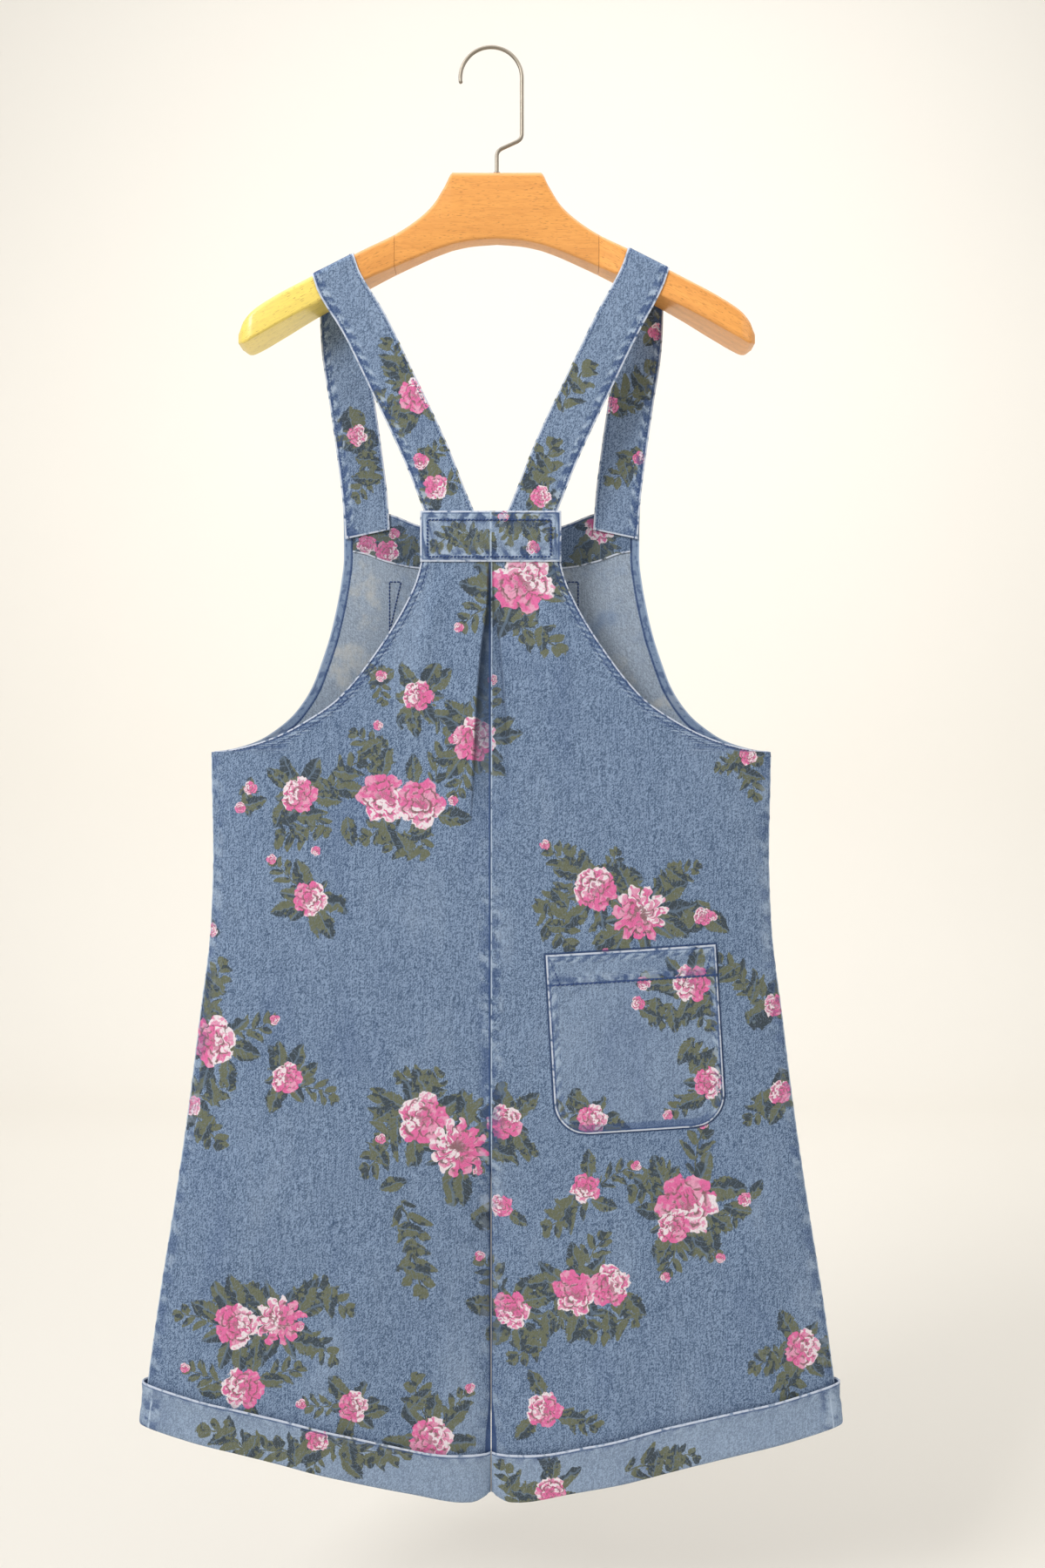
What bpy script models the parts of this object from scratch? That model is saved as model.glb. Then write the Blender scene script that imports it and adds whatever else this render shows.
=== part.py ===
"""Denim shortalls hanging by their straps on a wooden hanger.

Metres, +Z up. The origin is the top of the hollow of the hanger's hook, where a rail carries the whole
thing. The garment's back faces -Y, towards the viewer, and +X is the viewer's right, which is also the
wearer's right. Every cloth piece is a closed wall worked out from the sections and edges named below.
"""

import math
from collections import namedtuple

import bpy
import numpy as np

# Cloth.
WALL = 0.0012  # one layer of denim
STRAP_WALL = 0.0014  # a strap is two thin layers stitched flat
FACING_WALL = 0.0010
CUFF_WALL = 0.0024  # the turned-up band is two layers
SEAM = 0.0003  # the gap between pieces at a seam and between stacked layers
HEM_BAND = 0.0075  # the turned hem along the armholes
HEM_EXTRA = 0.0010  # how much thicker that hem is, on its inner side

# Where the garment's main lines lie.
PANEL_TOP = -0.410  # the back panels' top edge, under the tab
UNDERARM = -0.611
FORK_START = -0.935  # the centre seams start to turn in here
CROTCH = -1.004
LEG_GAP = 0.0035  # half the gap between the legs, at the hem
LEG_LIFT = 0.0036  # a leg ends this far above the cuff's foot
INSEAM_EASE = 0.0009  # how far a leg's inner side draws away from the middle at the crotch

# The body, seen from the back: how far each panel's middle stands off the garment's middle plane.
Section = namedtuple("Section", "z half_width back_depth front_depth")
BODY = (
    Section(z=-0.390, half_width=0.2425, back_depth=0.0145, front_depth=0.0210),
    Section(z=-0.500, half_width=0.2425, back_depth=0.0170, front_depth=0.0212),
    Section(z=-0.611, half_width=0.2425, back_depth=0.0200, front_depth=0.0208),
    Section(z=-0.700, half_width=0.2410, back_depth=0.0210, front_depth=0.0210),
    Section(z=-0.760, half_width=0.2430, back_depth=0.0210, front_depth=0.0210),
    Section(z=-0.840, half_width=0.2525, back_depth=0.0205, front_depth=0.0200),
    Section(z=-0.920, half_width=0.2625, back_depth=0.0195, front_depth=0.0185),
    Section(z=-1.000, half_width=0.2742, back_depth=0.0180, front_depth=0.0170),
    Section(z=-1.090, half_width=0.2885, back_depth=0.0165, front_depth=0.0160),
    Section(z=-1.200, half_width=0.3035, back_depth=0.0160, front_depth=0.0155),
)

# Armhole edges, from the top down to the underarm.
EdgePoint = namedtuple("EdgePoint", "z half_width")
BACK_ARMHOLE = (
    EdgePoint(PANEL_TOP, 0.0580),
    EdgePoint(-0.4300, 0.0580),
    EdgePoint(-0.4475, 0.0600),
    EdgePoint(-0.4632, 0.0640),
    EdgePoint(-0.4840, 0.0732),
    EdgePoint(-0.5063, 0.0860),
    EdgePoint(-0.5286, 0.1010),
    EdgePoint(-0.5494, 0.1167),
    EdgePoint(-0.5680, 0.1345),
    EdgePoint(-0.5836, 0.1575),
    EdgePoint(-0.5955, 0.1798),
    EdgePoint(-0.6030, 0.2000),
    EdgePoint(-0.6080, 0.2210),
    EdgePoint(UNDERARM, 0.2425),
)
FRONT_ARMHOLE = (
    EdgePoint(-0.3940, 0.1310),
    EdgePoint(-0.4150, 0.1303),
    EdgePoint(-0.4392, 0.1302),
    EdgePoint(-0.4622, 0.1327),
    EdgePoint(-0.4852, 0.1369),
    EdgePoint(-0.5082, 0.1423),
    EdgePoint(-0.5312, 0.1496),
    EdgePoint(-0.5542, 0.1584),
    EdgePoint(-0.5772, 0.1737),
    EdgePoint(-0.5900, 0.1880),
    EdgePoint(-0.6003, 0.2040),
    EdgePoint(-0.6070, 0.2230),
    EdgePoint(UNDERARM, 0.2425),
)

# Edges given by how far out they are from the centre seam.
Across = namedtuple("Across", "x z")
BIB_TOP = (
    Across(0.000, -0.4180),
    Across(0.035, -0.4165),
    Across(0.062, -0.4110),
    Across(0.092, -0.4000),
    Across(0.131, -0.3940),
)
FACING_FOOT = (
    Across(0.000, -0.4530),
    Across(0.067, -0.4485),
    Across(0.093, -0.4430),
    Across(0.113, -0.4360),
    Across(0.131, -0.4330),
)
HEM = (
    Across(0.003, -1.2535),
    Across(0.016, -1.2583),
    Across(0.070, -1.2480),
    Across(0.115, -1.2385),
    Across(0.180, -1.2225),
    Across(0.306, -1.1925),
)
CUFF_TOP = (
    Across(0.003, -1.2170),
    Across(0.037, -1.2150),
    Across(0.089, -1.2045),
    Across(0.142, -1.1915),
    Across(0.215, -1.1750),
    Across(0.306, -1.1542),
)

# The inverted box pleat below the tab: where its folds lie, and how deep its underlay is set back.
Pleat = namedtuple("Pleat", "z fold recess")
PLEAT = (
    Pleat(z=-0.4480, fold=0.0035, recess=0.0000),
    Pleat(z=-0.4560, fold=0.0035, recess=0.0030),
    Pleat(z=-0.4850, fold=0.0045, recess=0.0060),
    Pleat(z=-0.5150, fold=0.0086, recess=0.0070),
    Pleat(z=-0.5460, fold=0.0116, recess=0.0070),
    Pleat(z=-0.5710, fold=0.0135, recess=0.0065),
    Pleat(z=-0.6200, fold=0.0160, recess=0.0040),
    Pleat(z=-0.6800, fold=0.0180, recess=0.0000),
)
PLEAT_RISE = 0.0022  # how wide the step from fold to underlay is

# A panel's grid: how far its points lie across it, and its rows' heights in the torso and down the leg.
PANEL_SPREAD = (0.12, 0.26, 0.41, 0.56, 0.70, 0.82, 0.92, 1.0)
HEM_EDGE = 0.3  # the hem's last point but one, as a share of its band
TORSO_ROWS = (-0.645, -0.690, -0.745, -0.800, -0.855, -0.905, -0.940, -0.965, -0.985, CROTCH)
LEG_ROWS = (0.14, 0.30, 0.48, 0.66, 0.83, 1.0)

# Soft folds in the back: ridges that run from one point down to another.
Fold = namedtuple("Fold", "x_top z_top x_foot z_foot half_width height")
BACK_FOLDS = (
    Fold(0.046, -0.452, 0.062, -0.560, 0.010, 0.0022),
    Fold(-0.040, -0.452, -0.070, -0.570, 0.010, 0.0025),
    Fold(-0.100, -1.010, -0.150, -1.240, 0.026, 0.0030),
    Fold(0.085, -1.020, 0.110, -1.240, 0.026, 0.0030),
    Fold(0.215, -0.960, 0.245, -1.210, 0.024, 0.0025),
    Fold(-0.225, -0.980, -0.250, -1.215, 0.022, 0.0022),
)

# The tab across the top of the back panels.
TAB_HALF_WIDTH = 0.0605
TAB_TOP = -0.4045
TAB_FOOT = -0.4480
TAB_SINK = -0.4300  # below the straps' ends the tab sinks to the panels

# Pockets: a rectangle with round lower corners, turned by its tilt.
Pocket = namedtuple("Pocket", "x z width height corner tilt")
BACK_POCKET = Pocket(x=0.1245, z=-0.8580, width=0.1460, height=0.1550, corner=0.028, tilt=3.4)
BIB_POCKET = Pocket(x=0.0, z=-0.5360, width=0.1660, height=0.1580, corner=0.012, tilt=0.0)
POCKET_ROWS = (0.0, 0.012, 0.026, 0.055, 0.085, 0.110)  # down from the top, above the corners
CORNER_ROWS = (1.0, 0.7, 0.45, 0.25, 0.1, 0.02)  # up from the foot, as shares of the corner

# A cuff's section, a J that turns in under the leg: how far out, in metres, and up, as a share of its
# height. Distances are from the leg's middle surface, apart from those of the band's own two faces.
CUFF_BULGE = 0.0004
CUFF_LIP = 0.0004  # how far inside the leg's middle the turned foot reaches
CUFF_FOOT = (0.08, 0.0, 0.015, 0.05, 0.06)  # heights round the foot, from the outer face to the inner
MOST_MITRE = 0.4  # a cuff's corner reaches out at most 1 / this far

# A strap's own run from the tab up to the arm, and from the arm down to the bib, on the +X side.
STRAP_WIDTH = 0.040
Station = namedtuple("Station", "x y z tilt")
STRAP_BACK_RUN = (
    Station(x=0.0290, y=-0.0163, z=-0.4200, tilt=25),
    Station(x=0.0365, y=-0.0166, z=-0.4030, tilt=25),
    Station(x=0.0557, y=-0.0172, z=-0.3546, tilt=26),
    Station(x=0.0837, y=-0.0180, z=-0.2950, tilt=27),
    Station(x=0.1085, y=-0.0188, z=-0.2440, tilt=28),
)
STRAP_FRONT_RUN = (
    Station(x=0.1322, y=0.0206, z=-0.2300, tilt=19),
    Station(x=0.1300, y=0.0196, z=-0.2550, tilt=10),
    Station(x=0.1232, y=0.0184, z=-0.3000, tilt=7),
    Station(x=0.1168, y=0.0177, z=-0.3440, tilt=7),
    Station(x=0.1115, y=0.0170, z=-0.3860, tilt=8),
    Station(x=0.1090, y=0.0169, z=-0.4190, tilt=12),
)
ACROSS = np.linspace(-0.5, 0.5, 5) * STRAP_WIDTH  # the points across a strap
STRAP_EASE = 0.010  # a strap draws in to the bib from this far above its top
SADDLE_X = 0.1357  # where a strap lies on the arm
SADDLE_LEAN = 0.0045  # how far the back run has moved in by the time it clears the arm
SADDLE_DROP = 0.0160  # how far down the arm's faces the saddle reaches
SADDLE_TURNS = (1.0, 0.5)  # where its rows lie round the arm's top corners, in radians from level

# The hanger: half its outline, by the distance from its own middle.
HANGER_X = 0.005
Arm = namedtuple("Arm", "reach top foot half_depth")
ARM = (
    Arm(reach=0.0000, top=-0.1095, foot=-0.1675, half_depth=0.0100),
    Arm(reach=0.0200, top=-0.1095, foot=-0.1690, half_depth=0.0101),
    Arm(reach=0.0380, top=-0.1095, foot=-0.1725, half_depth=0.0104),
    Arm(reach=0.0450, top=-0.1215, foot=-0.1748, half_depth=0.0106),
    Arm(reach=0.0550, top=-0.1375, foot=-0.1785, half_depth=0.0110),
    Arm(reach=0.0690, top=-0.1510, foot=-0.1845, half_depth=0.0118),
    Arm(reach=0.0880, top=-0.1640, foot=-0.1930, half_depth=0.0130),
    Arm(reach=0.1120, top=-0.1768, foot=-0.2045, half_depth=0.0160),
    Arm(reach=0.1610, top=-0.2036, foot=-0.2300, half_depth=0.0205),
    Arm(reach=0.1900, top=-0.2200, foot=-0.2468, half_depth=0.0230),
    Arm(reach=0.2080, top=-0.2320, foot=-0.2570, half_depth=0.0235),
    Arm(reach=0.2170, top=-0.2410, foot=-0.2610, half_depth=0.0205),
    Arm(reach=0.2225, top=-0.2500, foot=-0.2590, half_depth=0.0120),
)
ARM_SLOPE_RUN = 0.0490  # under the strap the arm's top falls evenly
ARM_SLOPE_RISE = 0.0268
JOINT_REACH = 0.0880  # the centre block ends and the arms begin
ARM_CORNER = 0.0060  # the rounding along the arms' top edges
ARM_EDGE = 0.0025  # and along their lower edges
MOST_CORNER = 0.8  # of half a thin section's own height or depth
MOST_EDGE = 0.4
ROUND_OFF = 0.29  # how far in a round corner's own middle lies, as a share of its radius

# The hook.
WIRE = 0.00165  # the wire's radius
HOOK_RADIUS = 0.0267  # to the wire's middle
HOOK_END = 191  # degrees round from +X, where the wire ends
HOOK_DROP = -0.0785  # where the straight side ends
HOOK_NECK = -0.0885  # where the wire turns down over the block
HOOK_BEND = 0.008
BLOCK_TOP = ARM[0].top
COLLAR_RADIUS = 0.0032
COLLAR_TOP_RADIUS = 0.0027
COLLAR_HEIGHT = 0.0020

DENIM = (0.19, 0.27, 0.40)
DENIM_PALE = (0.34, 0.42, 0.52)
BEECH = (0.78, 0.45, 0.16)
STEEL = (0.62, 0.60, 0.56)


def clear_scene():
    for obj in list(bpy.data.objects):
        bpy.data.objects.remove(obj, do_unlink=True)


def material(name, colour, roughness, metallic=0.0):
    made = bpy.data.materials.new(name)
    made.use_nodes = True
    shader = made.node_tree.nodes["Principled BSDF"]
    shader.inputs["Base Color"].default_value = (*colour, 1.0)
    shader.inputs["Roughness"].default_value = roughness
    shader.inputs["Metallic"].default_value = metallic
    return made


def add_piece(name, points, faces, finish):
    """One named object from points and faces, shaded smooth except at its sharp edges."""
    mesh = bpy.data.meshes.new(name)
    mesh.from_pydata([tuple(p) for p in points], [], faces)
    mesh.shade_smooth()
    mesh.set_sharp_from_angle(angle=math.radians(40))
    mesh.materials.append(finish)
    piece = bpy.data.objects.new(name, mesh)
    bpy.context.scene.collection.objects.link(piece)
    return piece


def along(table, key, value, at):
    """A column of a table, read between its rows."""
    keys = np.array([getattr(row, key) for row in table])
    values = np.array([getattr(row, value) for row in table])
    order = np.argsort(keys)
    return np.interp(at, keys[order], values[order])


def smooth(start, end, at):
    """0 before start, 1 after end, and a smooth turn between them."""
    t = np.clip((at - start) / (end - start), 0, 1)
    return t * t * (3 - 2 * t)


# The body's surface.


def leg_share(z):
    """0 in the torso, 1 where the legs are apart."""
    return smooth(FORK_START, CROTCH, z)


def inner_edge(z):
    """The centre seam in the torso, and a leg's inner side below the crotch."""
    down = np.clip((CROTCH - z) / (CROTCH - HEM[0].z), 0, 1)
    return SEAM / 2 + leg_share(z) * INSEAM_EASE + down * LEG_GAP


def side_edge(z):
    return along(BODY, "z", "half_width", z)


def ridge(x, z):
    """The soft folds' height at each point: a rounded ridge that fades at both ends."""
    height = np.zeros_like(x)
    for fold in BACK_FOLDS:
        t = (z - fold.z_top) / (fold.z_foot - fold.z_top)
        middle = fold.x_top + (fold.x_foot - fold.x_top) * t
        fade = smooth(0.0, 0.35, t) * (1 - smooth(0.75, 1.25, t))
        height += fold.height * fade * np.exp(-(((x - middle) / fold.half_width) ** 2))
    return height


def depth(side, x, z, mirror=1):
    """How far a panel's middle surface lies off the garment's middle plane, at x >= 0.

    In the torso it falls from the centre to the side seam as sqrt(1 - u^3), and in a leg from the leg's
    middle to both of its seams. mirror is -1 for the panels at -X, whose folds are their own.
    """
    column = "back_depth" if side < 0 else "front_depth"
    full = along(BODY, "z", column, z)
    inner, outer = inner_edge(z), side_edge(z)
    torso = np.sqrt(np.clip(1 - (x / outer) ** 3, 0, 1))
    v = np.clip((x - inner) / (outer - inner), 0, 1)
    leg = np.sqrt(np.clip(1 - np.abs(2 * v - 1) ** 3, 0, 1))
    share = leg_share(z)
    shape = (1 - share) * torso + share * leg
    off = full * shape
    if side < 0:
        off = off + ridge(x * mirror, z) * shape
        fold = along(PLEAT, "z", "fold", z)
        inside = 1 - smooth(fold - PLEAT_RISE, fold, x)
        off = off - along(PLEAT, "z", "recess", z) * inside
    return SEAM / 2 + off


def surface(side, x, z):
    """Points of the back (side -1) or front (side 1) panel's middle surface, at any x."""
    y = side * depth(side, np.abs(x), z, np.where(x < 0, -1, 1))
    return np.stack([x, y, z], axis=-1)


def normals(grid):
    """Unit normals of a grid of points: the cross product of its two directions."""
    down, across = np.gradient(grid, axis=(0, 1))
    n = np.cross(across, down)
    return n / np.linalg.norm(n, axis=-1, keepdims=True)


def wall(grid, out, back):
    """A closed wall: the grid moved by out along its normals, and by -back for its other side.

    out and back are numbers or arrays of the grid's shape. The faces of the first side look along
    the normals.
    """
    n = normals(grid)
    rows, columns = grid.shape[:2]
    out = np.broadcast_to(out, (rows, columns))[..., None]
    back = np.broadcast_to(back, (rows, columns))[..., None]
    return close_wall(grid + n * out, grid - n * back)


def close_wall(first, second):
    """Points and faces of the solid between two grids of the same shape."""
    rows, columns = first.shape[:2]
    count = rows * columns
    at = np.arange(count).reshape(rows, columns)
    quads = []
    for r in range(rows - 1):
        for c in range(columns - 1):
            a, b, d, e = at[r, c], at[r, c + 1], at[r + 1, c + 1], at[r + 1, c]
            quads.append((a, e, d, b))
            quads.append((a + count, b + count, d + count, e + count))
    rim = [*at[0, :], *at[1:, -1], *at[-1, -2::-1], *at[-2:0:-1, 0]]
    for a, b in zip(rim, rim[1:] + rim[:1]):
        quads.append((a, b, b + count, a + count))
    faces = [tuple(int(i) for i in quad) for quad in quads]
    return np.concatenate([first.reshape(-1, 3), second.reshape(-1, 3)]), faces


def facing_out(points, faces):
    """The faces, turned round if the solid they close is inside out."""
    volume = 0.0
    for face in faces:
        for b, c in zip(face[1:-1], face[2:]):
            volume += np.dot(points[face[0]], np.cross(points[b], points[c]))
    return faces if volume > 0 else [face[::-1] for face in faces]


# Panels.


def columns(inner, fold, edge):
    """Where a row's points lie: at the pleat's fold, across the panel, and at the hem's band."""
    band = edge - HEM_BAND
    row = [inner, fold - PLEAT_RISE, fold]
    row += [fold + (band - fold) * share for share in PANEL_SPREAD]
    row += [band + HEM_EXTRA, edge - HEM_BAND * HEM_EDGE, edge]
    return np.array(row)


def side_height(height):
    """Where a slanted row meets the side seam: height gives z at an x, and the seam gives x at a z."""
    z = height(HEM[-1].x)
    for _ in range(8):
        z = height(side_edge(z))
    return float(z)


def leg_height(x, share):
    """The height of a leg's row: level at the crotch, and along the hem at the foot."""
    hem = along(HEM, "x", "z", x) + LEG_LIFT
    return CROTCH + (hem - CROTCH) * share


def cuff_height(x, share):
    foot, top = along(HEM, "x", "z", x), along(CUFF_TOP, "x", "z", x)
    return foot + (top - foot) * share


def panel_rows(armhole):
    """The heights of a panel's rows, at its side edge, as (z, edge, share of the way down the leg)."""
    rows = [(point.z, point.half_width, 0.0) for point in armhole]
    for z in TORSO_ROWS:
        rows.append((z, side_edge(z), 0.0))
    for share in LEG_ROWS:
        z = side_height(lambda x: leg_height(x, share))
        rows.append((z, side_edge(z), share))
    return rows


def panel(name, side, hand, armhole, finish):
    """One quarter of the body: half the back or the front, with its leg. hand is 1 at +X and -1 at -X."""
    grid, extra = [], []
    for index, (z_side, edge, share) in enumerate(panel_rows(armhole)):
        fold = along(PLEAT, "z", "fold", z_side)
        x = columns(inner_edge(z_side), fold, edge)
        z = leg_height(x, share) if share else np.full_like(x, z_side)
        if index == 0 and side > 0:
            z = along(BIB_TOP, "x", "z", x)
        elif index == 1 and side > 0:
            z = (along(BIB_TOP, "x", "z", x) + armhole[2].z) / 2
        grid.append(surface(side, hand * x, z))
        hemmed = 1.0 if z_side > UNDERARM else 0.0
        extra.append([0.0] * (len(x) - 3) + [HEM_EXTRA * hemmed] * 3)
    grid, extra = np.array(grid), np.array(extra)
    if side * hand < 0:
        grid, extra = grid[:, ::-1], extra[:, ::-1]
    points, faces = wall(grid, WALL / 2, WALL / 2 + extra)
    # A seam's edges stay on their own side of it.
    points[:, 0] = hand * np.maximum(points[:, 0] * hand, SEAM / 2)
    points[:, 1] = side * np.maximum(points[:, 1] * side, SEAM / 2)
    return add_piece(name, points, facing_out(points, faces), finish)


def lie_on(name, side, x, z, lift, thickness, finish):
    """A piece made from a panel's own points: a grid of x and z on it, moved out by lift.

    lift is measured from the panel's middle surface to this piece's, and is negative inside the garment.
    """
    grid = surface(side, x, z)
    n = normals(grid)
    n *= np.sign(n[..., 1:2]) * side
    grid = grid + n * np.broadcast_to(lift, x.shape)[..., None]
    points, faces = wall(grid, thickness / 2, thickness / 2)
    return add_piece(name, points, facing_out(points, faces), finish)


def tab(finish):
    """The tab over the panels' top and the straps' ends, which sinks to the panels at its foot."""
    across = np.linspace(-TAB_HALF_WIDTH, TAB_HALF_WIDTH, 13)
    x, z = np.meshgrid(across, np.linspace(TAB_TOP, TAB_FOOT, 7))
    over_strap = (WALL + STRAP_WALL) / 2 + SEAM + STRAP_WALL + SEAM
    on_panel = (WALL + STRAP_WALL) / 2 + SEAM
    sink = smooth(TAB_SINK, TAB_FOOT + HEM_BAND / 2, z)
    lie_on("back_tab", -1, x, z, over_strap + (on_panel - over_strap) * sink, STRAP_WALL, finish)


def pocket(name, side, shape, finish):
    """A patch pocket: rows that narrow along the round lower corners, turned by the pocket's tilt."""
    down = shape.height - shape.corner * np.array(CORNER_ROWS)
    q = np.concatenate([POCKET_ROWS, down])
    low = np.maximum(q - (shape.height - shape.corner), 0)
    narrow = shape.corner - np.sqrt(np.maximum(shape.corner**2 - low**2, 0))
    half = shape.width / 2 - narrow
    p = np.linspace(-1, 1, 11)[None, :] * half[:, None]
    q = shape.height / 2 - np.repeat(q[:, None], p.shape[1], axis=1)
    tilt = math.radians(shape.tilt)
    x = shape.x + p * math.cos(tilt) - q * math.sin(tilt)
    z = shape.z + p * math.sin(tilt) + q * math.cos(tilt)
    lie_on(name, side, x, z, WALL + SEAM, WALL, finish)


def facing(finish):
    """The strip inside the bib's top, between the armhole hems."""
    half = FRONT_ARMHOLE[1].half_width - HEM_BAND - 2 * SEAM
    x = np.linspace(-half, half, 15)
    top = along(BIB_TOP, "x", "z", np.abs(x)) - SEAM
    foot = along(FACING_FOOT, "x", "z", np.abs(x))
    share = np.linspace(0, 1, 4)[:, None]
    z = top + (foot - top) * share
    lift = -((WALL + FACING_WALL) / 2 + SEAM)
    lie_on("bib_facing", 1, np.repeat(x[None, :], 4, axis=0), z, lift, FACING_WALL, finish)


# Cuffs.


def cuff_profile():
    """A cuff's section, as (distance out from the leg's middle surface, share of the height)."""
    near = WALL / 2 + SEAM
    far = near + CUFF_WALL
    foot = zip((far, near + CUFF_BULGE, -CUFF_LIP, -CUFF_LIP, near), CUFF_FOOT)
    return [(near, 1.0), (far, 1.0), (far + CUFF_BULGE, 0.5), *foot]


def leg_ring(z_share, hand):
    """A leg's middle surface round from the inner side over the back to the outer side and back in front.

    Its points stand where the panels' columns do, so that the two walls keep their gap.
    """
    z_side = side_height(lambda x: cuff_height(x, z_share))
    fold = along(PLEAT, "z", "fold", z_side)
    row = columns(inner_edge(z_side), fold, side_edge(z_side))
    z = cuff_height(row, z_share)
    back = np.stack([row, -depth(-1, row, z, hand), z], axis=-1)
    front = np.stack([row, depth(1, row, z), z], axis=-1)
    ring = np.concatenate([back, front[-2:0:-1]])
    ring[[0, len(row) - 1], 1] = 0.0
    run = np.roll(ring, -1, axis=0) - ring
    away = np.stack([run[:, 1], -run[:, 0], np.zeros(len(run))], axis=-1)
    away /= np.linalg.norm(away, axis=1, keepdims=True)
    mitre = away + np.roll(away, 1, axis=0)
    mitre /= np.linalg.norm(mitre, axis=1, keepdims=True)
    reach = np.sum(mitre * away, axis=1, keepdims=True)
    return ring, mitre / np.maximum(reach, MOST_MITRE)


def cuff(name, hand, finish):
    """The turned-up band round a leg: its J section carried round the leg's own surface."""
    loops = []
    for out, share in cuff_profile():
        ring, away = leg_ring(share, hand)
        loops.append(ring + away * out)
    loops = np.array(loops)
    loops[..., 0] = np.maximum(loops[..., 0], SEAM / 2) * hand
    rows, count = loops.shape[:2]
    points = loops.reshape(-1, 3)
    faces = []
    for r in range(rows):
        for c in range(count):
            a, b = r * count + c, r * count + (c + 1) % count
            up = (r + 1) % rows * count
            faces.append((a, b, up + (c + 1) % count, up + c))
    return add_piece(name, points, facing_out(points, faces), finish)


# Straps.


def band_row(station):
    """The points across a strap at one station, turned in the strap's own plane by its tilt."""
    turn = math.radians(station.tilt)
    x = station.x + ACROSS * math.cos(turn)
    z = station.z - ACROSS * math.sin(turn)
    return np.stack([x, np.full_like(x, station.y), z], axis=-1)


def saddle(hand):
    """The strap's rows over the arm: they follow the wood's own top and faces, just clear of them."""
    slope = math.atan2(ARM_SLOPE_RISE, ARM_SLOPE_RUN)
    off = (SEAM + STRAP_WALL / 2) / math.cos(slope)
    turns = np.array(SADDLE_TURNS)
    turned = (ARM_CORNER + off) * np.stack([np.sin(turns), np.cos(turns)], axis=-1) - ARM_CORNER
    over = [(off, -SADDLE_DROP), (off, -ARM_CORNER), *turned, (-ARM_CORNER, off)]
    rows = []
    for side, lean in ((-1, SADDLE_LEAN), (1, SADDLE_LEAN / 3)):
        half_way = []
        for out, rise in over:
            shift = lean * max(0.0, -rise) / SADDLE_DROP
            x = SADDLE_X - shift + ACROSS * math.cos(slope)
            reach = np.abs(hand * x - HANGER_X)
            y = side * (along(ARM, "reach", "half_depth", reach) + out)
            half_way.append(np.stack([x, y, along(ARM, "reach", "top", reach) + rise], axis=-1))
        rows += half_way if side < 0 else half_way[::-1]
    return rows


def strap(name, hand, finish):
    """A flat band from under the tab up over the arm and down to the inside of the bib."""
    rows = [band_row(s) for s in STRAP_BACK_RUN] + saddle(hand)
    grid = np.array(rows + [band_row(s) for s in STRAP_FRONT_RUN])
    x, y, z = grid[..., 0], grid[..., 1], grid[..., 2]
    on_panel = depth(-1, x, z) + (WALL + STRAP_WALL) / 2 + SEAM
    in_bib = depth(1, x, z) - (WALL + STRAP_WALL) / 2 - FACING_WALL - 2 * SEAM - SEAM / 2
    y = np.where((y < 0) & (z < TAB_TOP), -on_panel, y)
    y = np.where((y > 0) & (z < BIB_TOP[-1].z + STRAP_EASE), np.minimum(y, in_bib), y)
    grid = np.stack([hand * x, y, z], axis=-1)
    points, faces = wall(grid, STRAP_WALL / 2, STRAP_WALL / 2)
    return add_piece(name, points, facing_out(points, faces), finish)


# Hanger.


def arm_section(arm):
    """The outline of the wood across an arm: a board with rounded top edges and eased lower ones."""
    least = min((arm.top - arm.foot) / 2, arm.half_depth)
    high = min(ARM_CORNER, least * MOST_CORNER)
    low = min(ARM_EDGE, least * MOST_EDGE)
    quarter = [
        (arm.half_depth, arm.foot + low),
        (arm.half_depth, arm.top - high),
        (arm.half_depth - high * ROUND_OFF, arm.top - high * ROUND_OFF),
        (arm.half_depth - high, arm.top),
    ]
    lower = (arm.half_depth - low, arm.foot)
    return quarter + [(-y, z) for y, z in reversed(quarter)] + [(-lower[0], lower[1]), lower]


def wood(name, stations, hand, finish):
    """A stretch of the hanger: the arm's sections in order along X, with both ends closed."""
    loops = []
    for reach, arm in stations:
        loops.append([(HANGER_X + hand * reach, y, z) for y, z in arm_section(arm)])
    points = np.array(loops).reshape(-1, 3)
    rows, count = len(loops), len(loops[0])
    faces = [tuple(range(count)), tuple(range((rows - 1) * count, rows * count))[::-1]]
    for r in range(rows - 1):
        for c in range(count):
            a, b = r * count + c, r * count + (c + 1) % count
            faces.append((a, a + count, b + count, b))
    return add_piece(name, points, facing_out(points, faces), finish)


def hanger(finish):
    """The centre block and the two arms glued to its ends."""
    block = [arm for arm in ARM if arm.reach <= JOINT_REACH]
    middle = [(-arm.reach, arm) for arm in reversed(block[1:])]
    middle += [(arm.reach, arm) for arm in block]
    wood("hanger_block", middle, 1, finish)
    outer = [arm for arm in ARM if arm.reach >= JOINT_REACH]
    arms = [(outer[0].reach + SEAM, outer[0])] + [(arm.reach, arm) for arm in outer[1:]]
    wood("hanger_arm_right", arms, 1, finish)
    wood("hanger_arm_left", arms, -1, finish)


def bend(start, corner, end, size, steps=5):
    """A corner of a path, rounded: a quadratic curve that leaves both straights size before the corner."""
    before = corner + (start - corner) / np.linalg.norm(start - corner) * size
    after = corner + (end - corner) / np.linalg.norm(end - corner) * size
    t = np.linspace(0, 1, steps)[:, None]
    return list((1 - t) ** 2 * before + 2 * t * (1 - t) * corner + t**2 * after)


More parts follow.
